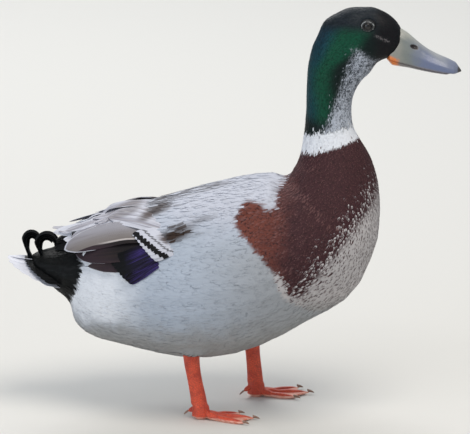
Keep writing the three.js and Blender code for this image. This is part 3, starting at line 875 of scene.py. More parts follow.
coatTraits = ("rows", "columns", "round", "fray", "arch", "follow", "calm")
coatShape = {
    "head": (3, 4, 0.60, 0.20, 0.08, 0.9, 0.6),
    "neck": (3, 4, 0.75, 0.30, 0.08, 0.9, 0.6),
    "breast": (4, 4, 0.60, 0.20, 0.05, 0.3, 0.5),
    "body": (4, 6, 0.70, 0.18, 0.0, 0.45, 0.88),
    "thigh": (4, 6, 0.70, 0.40, 0.02, 0.4, 0.5),
}
coatGrowth = {
    # each as a start and what a millimetre of feather length adds to it
    "spacing": (0.50, 0.19),
    "half": (0.35, 0.086),
    "high": (0.12, 0.019),
    "low": (-0.15, -0.020),
    "turn": 0.14,             # how far a feather may stray from the lie
    "shortest": 0.85, "vary": 0.3,       # its length and half width, as shares of the lie's
    "lowest": 0.8, "varyHeight": 0.4, "wander": 1.2,
    "bend": (3.0, 14, 80),       # its sideways radius: per mm of length, least and most
    "patch": (0.003, 0.003),       # how much of the bake's map a feather takes
    "eyeClear": 5.5, "tries": 5, "cell": 4.0,
    "face": {"from": 133, "forward": 0.4},       # there the feathers meet the bill's root
}


def grown(name, lengths):
    start, add = coatGrowth[name]
    return start + add * lengths


def varied(count, least="shortest", spread="vary"):
    return coatGrowth[least] + coatGrowth[spread] * chance.random(count)


coatRegions = {
    "head": ["head"], "neck": ["neck"], "breast": ["breast"], "trunk": ["trunk"], "rump": ["tail_coverts"],
    "thigh": ["thigh_left", "thigh_right"],
    "wing": [f"wing_{side}_{tract}" for side in sides for tract in wingTracts],
    "bill": ["bill_upper", "bill_lower"], "shank": ["shank_left", "shank_right"],
}


def scatterRoots():
    faces = np.array([face if len(face) == 4 else (*face, face[0]) for face in skinFaces])
    corners = skinSpots[faces]
    middle = corners.mean(1)
    area = np.linalg.norm(np.cross(corners[:, 2] - corners[:, 0], corners[:, 3] - corners[:, 1]), axis=1) / 2
    gap = grown("spacing", coatAt(middle)[1])
    weight = area / gap ** 2
    tries = int(weight.sum() * coatGrowth["tries"])
    picked = chance.choice(len(faces), tries, p=weight / weight.sum())
    s, t = chance.random((2, tries, 1))
    c = corners[picked]
    spots = (c[:, 0] * (1 - s) + c[:, 1] * s) * (1 - t) + (c[:, 3] * (1 - s) + c[:, 2] * s) * t
    cell = coatGrowth["cell"]
    grid = {}
    kept = []
    for i, ((x, y, z), need) in enumerate(zip(spots.tolist(), gap[picked].tolist())):
        home = (int(x // cell), int(y // cell), int(z // cell))
        span = range(-int(need // cell) - 1, int(need // cell) + 2)
        need *= need
        crowded = any(
            (x - a) ** 2 + (y - b) ** 2 + (z - c) ** 2 < need
            for i1 in span for j1 in span for k1 in span
            for a, b, c in grid.get((home[0] + i1, home[1] + j1, home[2] + k1), ())
        )
        if not crowded:
            grid.setdefault(home, []).append((x, y, z))
            kept.append(i)
    return spots[kept], picked[kept]


rootSpots, rootFaces = scatterRoots()
print("roots:", len(rootSpots))


def bakePlaces(faces):
    layer = skin.data.uv_layers["OFBake"]
    flat = np.empty(len(skin.data.loops) * 2, np.float32)
    layer.data.foreach_get("uv", flat)
    flat = flat.reshape(-1, 2)
    starts = np.empty(len(skin.data.polygons), np.int32)
    skin.data.polygons.foreach_get("loop_start", starts)
    return flat[starts[faces][:, None] + np.arange(3)[None]].mean(1)


def regionOf(spots, facing):
    names = list(coatRegions)
    raised = spots + facing * 2
    gaps = np.empty((len(names), len(spots)))
    for row, name in enumerate(names):
        tree = treeOf(coatRegions[name])
        gaps[row] = [tree.find_nearest(Vector(spot))[3] for spot in raised]
    return np.array(names)[gaps.argmin(0)]


rootRegions = regionOf(rootSpots, faceFacings[rootFaces])
rootUv = bakePlaces(rootFaces)
eyeCentres = [np.array(sum(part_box(f"eye_{side}"), Vector()) / 2) / mm for side in sides]
wingEdge = [      # z, and the x from where the wing's long vanes take over
    (150, -36), (157, -40), (165, -55), (172, -68), (176, -76), (177, -92), (200, -92),
]


def growCoat(title, chosen, shapeName, look, slot, cling=1.0, lift=0.0):
    shape = dict(zip(coatTraits, coatShape[shapeName]))
    roots = rootSpots[chosen]
    _, lengths = coatAt(roots)
    lengths = lengths * varied(len(roots))
    turn = coatGrowth["turn"] * chance.normal(size=len(roots))
    hold = np.full(len(roots), cling)
    steps = shape["rows"] + 1
    onHead = shapeName == "head"
    face = coatGrowth["face"]
    forward = face["forward"] * soft(roots[:, :1] - face["from"], 2) if onHead else 0.0
    line, up = lieLine(roots, lengths, turn, steps, hold, forward)
    keep = np.ones(len(roots), bool)
    if onHead:        # feathers in front of the eye stop short of the lids
        for centre in eyeCentres:
            close = np.linalg.norm(line - centre, axis=2) < coatGrowth["eyeClear"]
            first = np.where(close.any(1), close.argmax(1), steps + 1)
            lengths = np.where(first <= steps, lengths * (first - 1) / steps, lengths)
            keep &= first > 2
        line, up = lieLine(roots, lengths, turn, steps, hold, forward)
    if title.startswith("wing"):
        heights, edge = np.array(wingEdge).T
        keep &= line[:, -1, 0] > np.interp(line[:, -1, 2], heights, edge)
    roots, line, up, lengths = roots[keep], line[keep], up[keep], lengths[keep]
    count = len(roots)
    wander = coatGrowth["wander"] * chance.normal(size=count)
    seen = line[:, -2]        # a feather takes its marking from where it shows
    bend, tightest, flattest = coatGrowth["bend"]
    size = {
        "half": grown("half", lengths) * varied(count),
        "bend": np.clip(lengths * bend, tightest, flattest),
        "low": grown("low", lengths),
        "high": grown("high", lengths) * varied(count, "lowest", "varyHeight"),
        "lift": lift * chance.random(count),
    }

    def paintAt(points, perFeather):
        middle = np.repeat(seen, perFeather, axis=0)
        return markings(middle + (points - middle) * shape["follow"], np.repeat(wander, perFeather))

    bake = {"at": rootUv[chosen][keep], "patch": coatGrowth["patch"]}
    piece = layFeathers(title, (line, *framed(line, up)), size, shape, bake, {"tone": chance.random(count)},
                        paintAt, shape["calm"])
    print(title, count, "feathers")
    return finishPiece(piece, look, slot)


headLook = plumageMaterial("headPlumage", 7, 2.0, 1.6, relief=0.2)
breastLook = plumageMaterial("breastPlumage", 14, 3.0, 2.0, rim=0.35)
bodyLook = plumageMaterial("bodyPlumage", 24, 4.0, 2.4)
isFar = rootSpots[:, 1] > 0

growCoat("headFeathers", rootRegions == "head", "head", headLook, "plumage_green")
growCoat("neckFeathers", rootRegions == "neck", "neck", headLook, "plumage_green")
coatTracts = [
    # name, region, shape, look, slot, and how it stands off
    ("flankFeathers", "trunk", "body", bodyLook, "plumage_white", {}),
    ("breastFeathers", "breast", "breast", breastLook, "plumage_chestnut", {}),
    ("thighFeathers", "thigh", "thigh", bodyLook, "plumage_white", {"cling": 0.45, "lift": 1.2}),
    ("wingCoat", "wing", "body", bodyLook, "plumage_grey", {"lift": 0.5}),
]
for side in sides:
    mine = isFar == (side == "left")
    for name, region, *how, stand in coatTracts:
        growCoat(f"{name}_{side}", (rootRegions == region) & mine, *how, **stand)
growCoat("rumpFeathers", rootRegions == "rump", "body", bodyLook, "plumage_black")


# long vanes: wing, tail and curls

supportShape = {"voxel": 2.0, "rounds": 16}


def makeSupport():
    names = [*fleshNodes, *(f"wing_{side}_primaries" for side in sides)]
    piece = remeshed(mergedCopy("vaneSupport", names), **supportShape)
    tree = treeOver(places(piece.data), [face.vertices for face in piece.data.polygons])
    bpy.data.objects.remove(piece)
    return tree


castFrom = {"side": 30.0, "top": 180.0, "reach": 150.0}       # breadth and height of the lines, in mm
evenings = 6


def lineOver(starts, way):
    spots, ups = [], []
    for start in starts:
        above = Vector(start) - Vector(way) * castFrom["reach"]
        spot, up, _, _ = vaneSupport.ray_cast(above, Vector(way))
        if spot is None:
            spot, up, _, _ = vaneSupport.find_nearest(Vector(start))
        spots.append(spot)
        ups.append(up)
    spots = np.array(spots)
    ups = unit(np.array(ups))
    for _ in range(evenings):
        for field in (spots, ups):
            field[1:-1] = (field[:-2] + 2 * field[1:-1] + field[2:]) / 4
    return spots, unit(ups)


def bowed(start, end, bow, steps=18):
    t = np.linspace(0, 1, steps + 1)[:, None]
    start, end = np.array(start, float), np.array(end, float)
    run = end - start
    normal = np.array((-run[1], run[0])) / np.linalg.norm(run)
    return start + run * t + normal * bow * np.sin(math.pi * t)


def sideLine(side, start, end, bow=0.0):
    flat = bowed(start, end, bow)
    starts = np.column_stack([flat[:, 0], np.full(len(flat), side * castFrom["side"]), flat[:, 1]])
    return lineOver(starts, (0, -side, 0))


def topLine(side, start, end, bow=0.0):
    flat = bowed(start, end, bow)
    starts = np.column_stack([flat[:, 0], side * flat[:, 1], np.full(len(flat), castFrom["top"])])
    return lineOver(starts, (0, 0, -1))


def freeLine(side, start, end, bow=0.0, steps=18):
    t = np.linspace(0, 1, steps + 1)[:, None]
    path = np.array(start, float) * (1 - t) + np.array(end, float) * t
    path[:, 2:] += bow * np.sin(math.pi * t)
    path[:, 1] *= side
    return path, np.tile((0, side * 0.8, 0.6), (steps + 1, 1))


def layVanes(title, lines, halves, lifts, shape, look, slot, *nodes, flip=False, sink=(0.2, 4.0), bend=60.0,
             calm=0.6):
    line = np.stack([entry[0] for entry in lines])
    up = np.stack([entry[1] for entry in lines])
    count = len(lines)
    sunk = np.broadcast_to(sink[0], count)[:, None]
    rise = soft(np.linspace(0, 1, line.shape[1]) - sunk, sunk)[..., None]
    line = line + up * ((np.array(lifts, float)[:, None, None] + sink[1]) * rise - sink[1])
    same = {"bend": bend, "low": shape["low"], "high": shape["high"], "lift": 0.0}
    size = {name: np.full(count, value) for name, value in same.items()}
    size["half"] = np.array(halves, float)
    marks = {"tone": chance.random(count), "order": np.linspace(0, 1, count)}
    cell = 1 / (2 * count)
    at = np.column_stack([(2 * np.arange(count) + 0.5) * cell, np.full(count, 0.5)])
    bake = {"at": at, "patch": (0.9 * cell, 0.96), "under": cell}
    piece = layFeathers(title, (line, *framed(line, up)), size, shape, bake, marks, calm=calm, flip=flip)
    return finishPiece(piece, look, slot, *nodes)


wingPaint = {
    "white": "c6c8d3", "bright": "dcdee8", "grey": "8b8a95", "ash": "98979f", "beige": "7a7472",
    "brown": "463732", "dark": "171316", "umber": "33262d", "purple": "3d3070", "violet": "171226",
    "ink": "07070a", "shaft": "b9b2b0", "coal": "050608", "coalGloss": "0d151c",
}


def vaneMaterial(title, paintVane, shaftAt=0.5, **fixed):
    look, tree, shader = newMaterial(title, **{"Roughness": 0.6, **matt, **fixed})
    single = useGroup(tree, featherPattern, Barbs=60.0, Slant=9.0, Slim=6.0, Rim=0.2, ShaftAt=shaftAt)
    u, v, _ = split(addNode(tree, "UVMap", uv_map="vane"))
    colour = paintVane(single, u, v, tonesOf(wingPaint))
    shade = carried(tree, "tone") * 0.10 + 0.94
    connect(tree, shader, {"Base Color": shaded(colour, shade), "Normal": bumped(single["Height"], 0.3)})
    return look


def barbStreaks(u, v):      # long fine streaks, others on each vane
    each = carried(u.tree, "order") * 57
    return noise(addNode(u.tree, "CombineXYZ", {0: u * 7, 1: v * 1.7, 2: each}), 1.0, 4.0)


def withBlotches(colour, streak, tone):      # the coat's brown patches, carried on over the vanes
    x, _, z = split(placeInMm(streak.tree))
    for bx, bz, long, tall, strength in blotches:
        ahead = x - bx
        far = distance(ahead / long, (z - bz - ahead * blotchTilt) / tall) + streak * 0.9
        colour = blend(far.ramp(1.7, 0.8) * strength, colour, tone["brown"])
    return colour


def paintScapular(single, u, v, tone):
    streak = barbStreaks(u, v)
    # grey lilac down each vane's middle, in barb streaks: the feathers' own grey with painted shade
    middle = abs(u - 0.5).ramp(0.46, 0.12)
    colour = blend(middle * streak.ramp(0.30, 0.60) * 0.95, tone["white"], tone["grey"])
    colour = withBlotches(colour, streak, tone)
    return blend(single["Shaft"] * 0.4, colour, tone["shaft"])


def paintTertial(single, u, v, tone):      # the first has an ash face over a dark band, the others are dark
    main = carried(u.tree, "order").ramp(0.4, 0.2)
    face = blend(u.ramp(0.1, 0.75), tone["ash"], tone["beige"])
    low = blend(v.ramp(0.5, 0.9), tone["dark"], tone["umber"])
    colour = blend(main * u.ramp(0.83, 0.80), low, face)
    colour = blend(barbStreaks(u, v).ramp(0.45, 0.75) * 0.2, colour, tone["brown"])
    edged = calc("MAXIMUM", main, u.ramp(0.45, 0.8) * 0.6)
    tip = (main * 0.008 + v).ramp(0.982, 1.0) * edged
    colour = blend(tip, colour, tone["white"])
    return blend(single["Shaft"] * main * v.ramp(0.80, 0.55), colour, tone["shaft"])


def paintSpeculum(single, u, v, tone):
    sheen = u.ramp(0.25, 0.75) * barbStreaks(u, v).ramp(0.38, 0.66)
    colour = blend(sheen, tone["violet"], tone["purple"])
    where = placeInMm(u.tree)
    fade = noise(where, 0.15) * 12 + split(where)[0]
    return blend(fade.ramp(-72, -88), colour, tone["ink"])


# a place on the bars' line and the way across it, as x and z, then mm ahead of the line
barLines = {"from": (-82, 172), "way": (0.484, 0.875), "bar": 1.6, "thin": 7.8}


def paintBars(single, u, v, tone):      # bands straight across the row, stepped from feather to feather
    where = placeInMm(u.tree)
    x, _, z = split(where)
    ahead = (x - barLines["from"][0]) * barLines["way"][0] + (z - barLines["from"][1]) * barLines["way"][1]
    ahead = ahead + abs(u - 0.5) * 3 + single["Height"] * 0.15 + noise(where, 0.4) * 1.6
    thin = abs(ahead - barLines["thin"]).ramp(0.9, 0.5)
    colour = blend(thin * 0.75, tone["white"], tone["dark"])
    covered = withBlotches(tone["white"], barbStreaks(u, v), tone)
    colour = blend(ahead.ramp(9.0, 11.5), colour, covered)
    return blend(abs(ahead - barLines["bar"]).ramp(2.4, 1.9), colour, tone["ink"])


def paintWhite(single, u, v, tone):
    # greyer from the root to near the tip, in barb streaks: painted shade
    inner = v.ramp(0.98, 0.6) * barbStreaks(u, v).ramp(0.3, 0.7)
    colour = blend(inner * 0.5, tone["bright"], tone["grey"])
    return blend(single["Shaft"] * 0.3, colour, tone["shaft"])


def paintCurl(single, u, v, tone):
    return blend(single["Rim"] * 0.5, tone["coal"], tone["coalGloss"])


vaneShape = {"rows": 18, "columns": 10, "thick": 0.25, "round": 0.16, "fray": 0.012, "low": -0.2,
             "high": 0.2, "arch": 0.02, "base": 0.55}
broadVane = {**vaneShape, "round": 0.24}
pointedVane = {**vaneShape, "round": 0.34, "point": 1.5, "taper": 0.25}
tertialVane = {**vaneShape, "round": 0.40, "point": 1.35, "taper": 0.1}
pinionVane = {**pointedVane, "taper": 0.1}
wingRows = [
    # how many, root and tip of its first and last vane seen from the side (x, z), half width, lifts, sink
    ("speculum", 8, (-56, 171), (-58, 153), (-107, 148.5), (-88.5, 132.5), 4.2, (1.5, 0.9), (0.12, 4.0)),
    ("bars", 9, (-52, 182), (-35, 167.5), (-86, 170), (-66, 154.5), 3.4, (2.7, 1.1), (0.40, 3.5)),
    ("scapulars", 4, (-62, 190), (-50, 180), (-124, 182), (-110, 177), 7.0, (3.4, 4.6), (0.30, 4.0)),
]
tertials = {
    "vanes": [      # start, end, half width, bow, lift, where it comes out of the coat
        ((-56, 176.5), (-151, 150.5), 13.5, -5.0, 3.8, 0.2),
        ((-52, 166), (-140, 145.0), 9.5, -1.5, 2.7, 0.36),
        ((-50, 159), (-127, 141.0), 8.0, 0.0, 1.5, 0.46),
    ],
    "depth": 4.0, "bend": 95.0,
}
backVanes = {
    "rows": [      # how many, first and last vane's root and tip seen from above (x, |y|), half width, lift
        (4, (-96, 3), (-90, 22), (-164, 2), (-144, 24), 7.0, 1.4),
        (4, (-62, 4), (-58, 30), (-128, 4), (-122, 27), 8.5, 1.8),
    ],
    "sink": (0.3, 4.0), "step": 0.25, "tipHeight": 162.5, "tipFall": 0.12,
}
pinions = {
    "vanes": [      # the folded wing's own tips, start, end (x, |y|, z), half width, bow
        ((-92, 22, 171), (-163, 7, 161.0), 6.5, 2.0),
        ((-94, 29, 166), (-153, 17, 157.5), 6.0, 1.0),
    ],
    "lifts": [0.6, 0.0], "sink": (0.1, 3.0), "bend": 40.0,
    "farDrop": 4.0,        # the wing away from the viewer is folded a little lower
}


def rowBetween(count, firstRoot, lastRoot, firstTip, lastTip):
    shares = np.linspace(0, 1, count)[:, None]
    starts = (1 - shares) * firstRoot + shares * np.array(lastRoot)
    ends = (1 - shares) * firstTip + shares * np.array(lastTip)
    return list(zip(starts, ends)), shares[:, 0]


def makeWing(name, side):
    flip = side > 0
    for (part, count, *ends, half, (first, last), sink), how in zip(wingRows, rowLooks):
        pairs, shares = rowBetween(count, *ends)
        lines = [sideLine(side, start, end) for start, end in pairs]
        lifts = first + (last - first) * shares
        layVanes(f"{part}_{name}_1", lines, [half] * count, lifts, *how, flip=flip, sink=sink)
    starts, ends, halves, bows, lifts, sunk = zip(*tertials["vanes"])
    lines = [sideLine(side, start, end, bow) for start, end, bow in zip(starts, ends, bows)]
    layVanes(f"tertials_{name}", lines, halves, lifts, tertialVane, tertialLook, "plumage_grey",
             f"wing_{name}_tertials", flip=flip, sink=(sunk, tertials["depth"]), bend=tertials["bend"])
    starts, ends, halves, bows = zip(*pinions["vanes"])
    lines = [freeLine(side, start, end, bow) for start, end, bow in zip(starts, ends, bows)]
    if side > 0:
        for path, _ in lines:
            path[:, 2] -= pinions["farDrop"]
    layVanes(f"pinions_{name}", lines, halves, pinions["lifts"], pinionVane, tailLook, "plumage_white",
             flip=flip, sink=pinions["sink"], bend=pinions["bend"])
    for number, (count, *ends, half, lift) in enumerate(backVanes["rows"], start=1):
        lines = [topLine(side, start, end) for start, end in rowBetween(count, *ends)[0]]
        for spots, _ in lines:        # the rearmost tips stand clear of the rump
            clear = backVanes["tipHeight"] - backVanes["tipFall"] * np.abs(spots[:, 1])
            spots[:, 2] = np.maximum(spots[:, 2], clear)
        replaced = [f"wing_{name}_primaries"] if number == 1 else []
        lifts = lift + backVanes["step"] * np.arange(count)[::-1]
        layVanes(f"backVanes_{name}_{number}", lines, [half] * count, lifts, pointedVane, scapularLook,
                 "plumage_grey", *replaced, flip=flip, sink=backVanes["sink"])


vaneSupport = makeSupport()
speculumLook = vaneMaterial("speculumVane", paintSpeculum, Metallic=0.3, Roughness=0.42)
barsLook = vaneMaterial("barredCovert", paintBars)
tertialLook = vaneMaterial("tertialVane", paintTertial, shaftAt=0.82)
scapularLook = vaneMaterial("scapularVane", paintScapular)
tailLook = vaneMaterial("tailVane", paintWhite)
rowLooks = [
    (vaneShape, speculumLook, "plumage_purple"),
    (vaneShape, barsLook, "plumage_grey"),
    (pointedVane, scapularLook, "plumage_grey"),
]
for name, side in sides.items():
    makeWing(name, side)
print("wings laid")


fanLayout = {
    "pivot": -115.0, "root": 30.0, "height": 132.0, "heightAt": -147.0, "slope": 0.08,
    "droop": 13.0, "curve": 1.6, "wide": 40.0, "press": 0.03, "step": 0.72,
    "sink": (0.1, 0.0), "bend": 110.0, "calm": 0.85, "points": 19,
}
tailShape = {**broadVane, "round": 0.2, "point": 1.6, "taper": 0.3, "arch": 0.0, "high": 0.0}
fans = [
    # name, vanes, spread, reach, how much shorter at the sides, half width, lift, what is replaced
    ("tailFeathers", 12, 26.0, 90.5, 30.0, 10.5, 0.0, ["tail_fan"]),
    ("tailCoverts", 20, 33.0, 75.0, 14.0, 5.5, 1.3, []),
]


def makeFan(title, count, spread, reach, shorter, half, lift, nodes, look, slot):
    lines, lifts = [], []
    points = fanLayout["points"]
    curve = fanLayout["curve"]
    root = fanLayout["root"]
    t = np.linspace(0, 1, points)
    for i in range(count):
        share = 2 * (i + 0.5) / count - 1
        outward = abs(share)
        angle = math.radians(spread) * share
        radius = root + (reach - shorter * share ** 2 - root) * t
        x = fanLayout["pivot"] - radius * math.cos(angle)
        drop = fanLayout["droop"] * outward ** curve
        z = fanLayout["height"] - fanLayout["slope"] * (x - fanLayout["heightAt"]) - drop
        wide = fanLayout["wide"] * radius / radius[-1]
        tilt = np.arctan(fanLayout["droop"] * curve * outward ** (curve - 1) / wide) + fanLayout["press"]
        lean = math.copysign(1, share) * tilt
        up = np.column_stack([np.zeros(points), np.sin(lean), np.cos(lean)])
        lines.append((np.column_stack([x, radius * math.sin(angle), z]), up))
        lifts.append(lift + fanLayout["step"] * (0.5 - outward))
    layVanes(title, lines, [half] * count, lifts, tailShape, look, slot, *nodes,
             sink=fanLayout["sink"], bend=fanLayout["bend"], calm=fanLayout["calm"])


curlLayout = {
    # where the loop starts (x, y, z), its radius, how far it turns in degrees, its foot's height
    "curls": [(-188.5, 3.4, 152, 5.6, 215, 134), (-188, -3.6, 153.5, 5.8, 205, 134),
              (-177.5, 9.6, 147, 8.2, 215, 138), (-176, -9.8, 151.5, 8.4, 195, 138)],
    # outward, sideways, length share, lean in degrees
    "strands": [(-2.3, -1.0, 0.82, 30), (-1.1, 0.8, 0.90, -25), (0.0, -0.4, 1.0, 20), (1.2, 0.5, 0.94, -30),
                (2.3, -0.6, 0.86, 35)],
    "half": 2.7, "steps": 30, "stemSteps": 11, "footAhead": 7, "footLower": 4, "stemBow": -1.5,
    "tighter": 0.2, "wider": 0.24,        # towards the end of the loop
}
curlShape = {"rows": 30, "columns": 6, "thick": 0.3, "round": 0.14, "fray": 0.06, "low": 0, "high": 0,
             "arch": 0.45, "base": 0.8, "taper": 0.5}


def makeCurls():
    rise = np.linspace(0, 1, curlLayout["stemSteps"] + 1)[:-1, None]
    sweep = np.linspace(0, 1, curlLayout["steps"])
    bow = np.array((curlLayout["stemBow"], 0, 0)) * np.sin(math.pi * rise)
    sidewards = np.array((0, 1, 0))
    for number, (x, y, z, size, turn, root) in enumerate(curlLayout["curls"], start=1):
        lines = []
        for outward, sideways, share, lean in curlLayout["strands"]:
            foot = np.array((x + curlLayout["footAhead"] + outward, 0.8 * y + sideways,
                             root - curlLayout["footLower"]))
            start = np.array((x - outward, 0.9 * y + sideways, z))
            stem = foot * (1 - rise) + start * rise + bow
            angle = np.radians(180 - turn * share * sweep)
            radius = (size + outward) * (1 - curlLayout["tighter"] * sweep)
            arc = np.column_stack([x + size + radius * np.cos(angle),
                                   (y + sideways) * (1 + curlLayout["wider"] * sweep),
                                   z + radius * np.sin(angle)])
            path = np.vstack([stem, arc])
            outer = unit(np.cross(sidewards, unit(np.gradient(path, axis=0))))
            lean = math.radians(lean)
            lines.append((path, outer * math.cos(lean) + sidewards * math.sin(lean)))
        layVanes(f"tailCurl_{number}", lines, [curlLayout["half"]] * len(lines), [0] * len(lines),
                 curlShape, curlLook, "plumage_black", f"tail_curl_{number}", sink=(0.1, 0.0))


rumpCover = {
    "first": -122.0, "last": -162.0, "floor": 142.0, "half": 4.5, "count": 17, "turn": 100, "points": 19,
    "crest": 16, "hump": 3.5, "crestFall": 6, "wide": 15, "narrower": 7,
    "lift": 0.5, "sink": (0.1, 2.0), "fray": 0.06,
}


def makeRumpCover():          # black coverts heaped up under the wing tips
    t = np.linspace(0, 1, rumpCover["points"])
    x = rumpCover["first"] + (rumpCover["last"] - rumpCover["first"]) * t
    crest = rumpCover["crest"] + rumpCover["hump"] * np.sin(math.pi * t) - rumpCover["crestFall"] * t ** 4
    wide = rumpCover["wide"] - rumpCover["narrower"] * t ** 3
    lines = []
    for turn in np.radians(np.linspace(-rumpCover["turn"], rumpCover["turn"], rumpCover["count"])):
        path = np.column_stack([x, wide * math.sin(turn), rumpCover["floor"] + crest * math.cos(turn)])
        lines.append((path, np.tile((0, math.sin(turn), math.cos(turn)), (len(t), 1))))
    count = rumpCover["count"]
    layVanes("rumpCover", lines, [rumpCover["half"]] * count, rumpCover["lift"] * chance.random(count),
             {**pointedVane, "fray": rumpCover["fray"]}, curlLook, "plumage_black", sink=rumpCover["sink"])


curlLook = vaneMaterial("curlVane", paintCurl, Roughness=0.5)
for row, look, slot in zip(fans, (tailLook, curlLook), ("plumage_white", "plumage_black")):
    makeFan(*row, look, slot)
makeCurls()
makeRumpCover()
print("tail laid")


# eyes with lids

eyeLayout = {
    "iris": "1a0f08", "irisDeep": "080503", "pupil": "020202", "pupilSize": 2.3, "irisSize": 3.7,
    "lid": "0c0f12", "lidEdge": "8d9192", "sunk": 1.3, "cornea": 0.75, "proud": 0.35,
    "almond": (1.2, 0.95), "corner": 0.05, "ring": (4.2, 4.45, 4.85, 5.1),
    # lid profile from its free edge outwards: distance from the eye's axis, height above the eye's middle
    "lidProfile": [(2.9, 4.85), (3.0, 5.25), (3.4, 5.35), (4.0, 5.1), (4.6, 4.75), (5.1, 4.0), (5.7, 2.6),
                   (6.2, 0.8), (5.2, 0.5), (3.8, 3.7)],
}


def awayFrom(tree, centre):      # along the bird and up it, in mm from a point
    spot = {0: placeInMm(tree), 1: tuple(centre / mm)}
    ahead, _, above = split(addNode(tree, "VectorMath", spot, operation="SUBTRACT"))
    return ahead, above


def makeEye(name, side):
    low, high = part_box(f"eye_{name}")
    centre = (low + high) / 2
    radius = (high.x - low.x) / 2
    form = bmesh.new()
    bmesh.ops.create_uvsphere(form, u_segments=48, v_segments=32, radius=radius)
    bmesh.ops.rotate(form, verts=form.verts, matrix=Matrix.Rotation(math.radians(-90 * side), 3, "X"))
    for vert in form.verts:       # the cornea stands a little proud
        facing = vert.co.y * side / radius
        vert.co *= 1 + eyeLayout["proud"] * max(facing - eyeLayout["cornea"], 0)
    centre.y -= side * eyeLayout["sunk"] * mm
    bmesh.ops.translate(form, verts=form.verts, vec=centre)
    piece = standing(f"eyeball_{name}", form)
    piece.data.shade_smooth()
    look, tree, shader = newMaterial(f"eyeGlass_{name}", **{"Roughness": 0.2, "Coat Weight": 0.2,
                                                            "Coat Roughness": 0.02})
    ahead, above = awayFrom(tree, centre)
    far = distance(ahead, above)
    around = {"W": calc("ARCTAN2", ahead, above) * 6, "Scale": 3.0}
    rays = addNode(tree, "TexNoise", around, "Fac", noise_dimensions="1D")
    pupil, iris = eyeLayout["pupilSize"], eyeLayout["irisSize"]
    dark = paint(eyeLayout["pupil"])
    colour = blend(rays, paint(eyeLayout["iris"]), paint(eyeLayout["irisDeep"]))
    colour = blend(far.ramp(iris * 0.85, iris * 1.05), colour, dark)
    colour = blend(far.ramp(pupil * 1.04, pupil * 0.96), colour, dark)
    connect(tree, shader, {"Base Color": colour})
    finishPiece(piece, look, "eye", f"eye_{name}")
    makeLids(name, side, centre, radius)


def makeLids(name, side, centre, radius):
    form = bmesh.new()
    ring = [form.verts.new((out * mm, high * mm, 0)) for out, high in eyeLayout["lidProfile"]]
    edges = [form.edges.new(pair) for pair in zip(ring, ring[1:] + ring[:1])]
    bmesh.ops.spin(form, geom=ring + edges, cent=(0, 0, 0), axis=(0, 1, 0), angle=2 * math.pi, steps=72,
                   use_merge=True)
    bmesh.ops.remove_doubles(form, verts=form.verts, dist=0.001 * mm)
    long, tall = eyeLayout["almond"]
    for vert in form.verts:       # an almond opening, drawn out a little at its two corners
        turn = math.atan2(vert.co.z, vert.co.x)
        vert.co.x *= long * (1 + eyeLayout["corner"] * math.cos(turn) ** 8)
        vert.co.z *= tall
    bmesh.ops.scale(form, vec=(1, side, 1), verts=form.verts)
    bmesh.ops.translate(form, verts=form.verts, vec=centre)
    bmesh.ops.recalc_face_normals(form, faces=form.faces)
    piece = standing(f"eyelids_{name}", form)
    piece.data.shade_smooth()
    look, tree, shader = newMaterial(f"lidSkin_{name}", Roughness=0.5)
    ahead, above = awayFrom(tree, centre)
    far = distance(ahead / long, above / tall)
    grain = noise(placeInMm(tree), 0.9, 3.0)
    inner, full, fading, outer = eyeLayout["ring"]
    edge = far.ramp(inner, full) * far.ramp(outer, fading) * grain.ramp(0.44, 0.56)
    colour = blend(edge, paint(eyeLayout["lid"]), paint(eyeLayout["lidEdge"]))
    connect(tree, shader, {"Base Color": colour, "Normal": bumped(grain, 0.6)})
    finishPiece(piece, look, "plumage_green")


for name, side in sides.items():
    makeEye(name, side)


# bill, legs and claws: smooth horn and scaled skin over the built forms

billPaint = {"base": "8b8b84", "green": "747a76", "lilac": "636d8a", "ridge": "b7b8b0", "fleck": "5f5d5a",
             "gape": "d97a38", "rim": "7d7674", "nail": "2b2624", "nostril": "1d1518"}
billReach = {
    # where each colour sets in and where it is full, in mm along the bill or up it
    "green": (152, 166), "lilac": (160, 186), "nail": (201.2, 202.4), "gapeBack": (154, 149),
    # the same for heights that are measured from a sloping line: its slope, then the two heights
    "ridge": (0.72, 457, 465), "rim": (0.20, 357, 354.6), "gapeTop": (0.35, 383.6, 381),
    "ridgeFades": (198, 176, 0.1, 0.8),
}
nostrilAt = {"place": (162.3, 339.4), "tilt": 24.0, "half": (3.9, 1.8), "rim": (1.3, 0.8)}


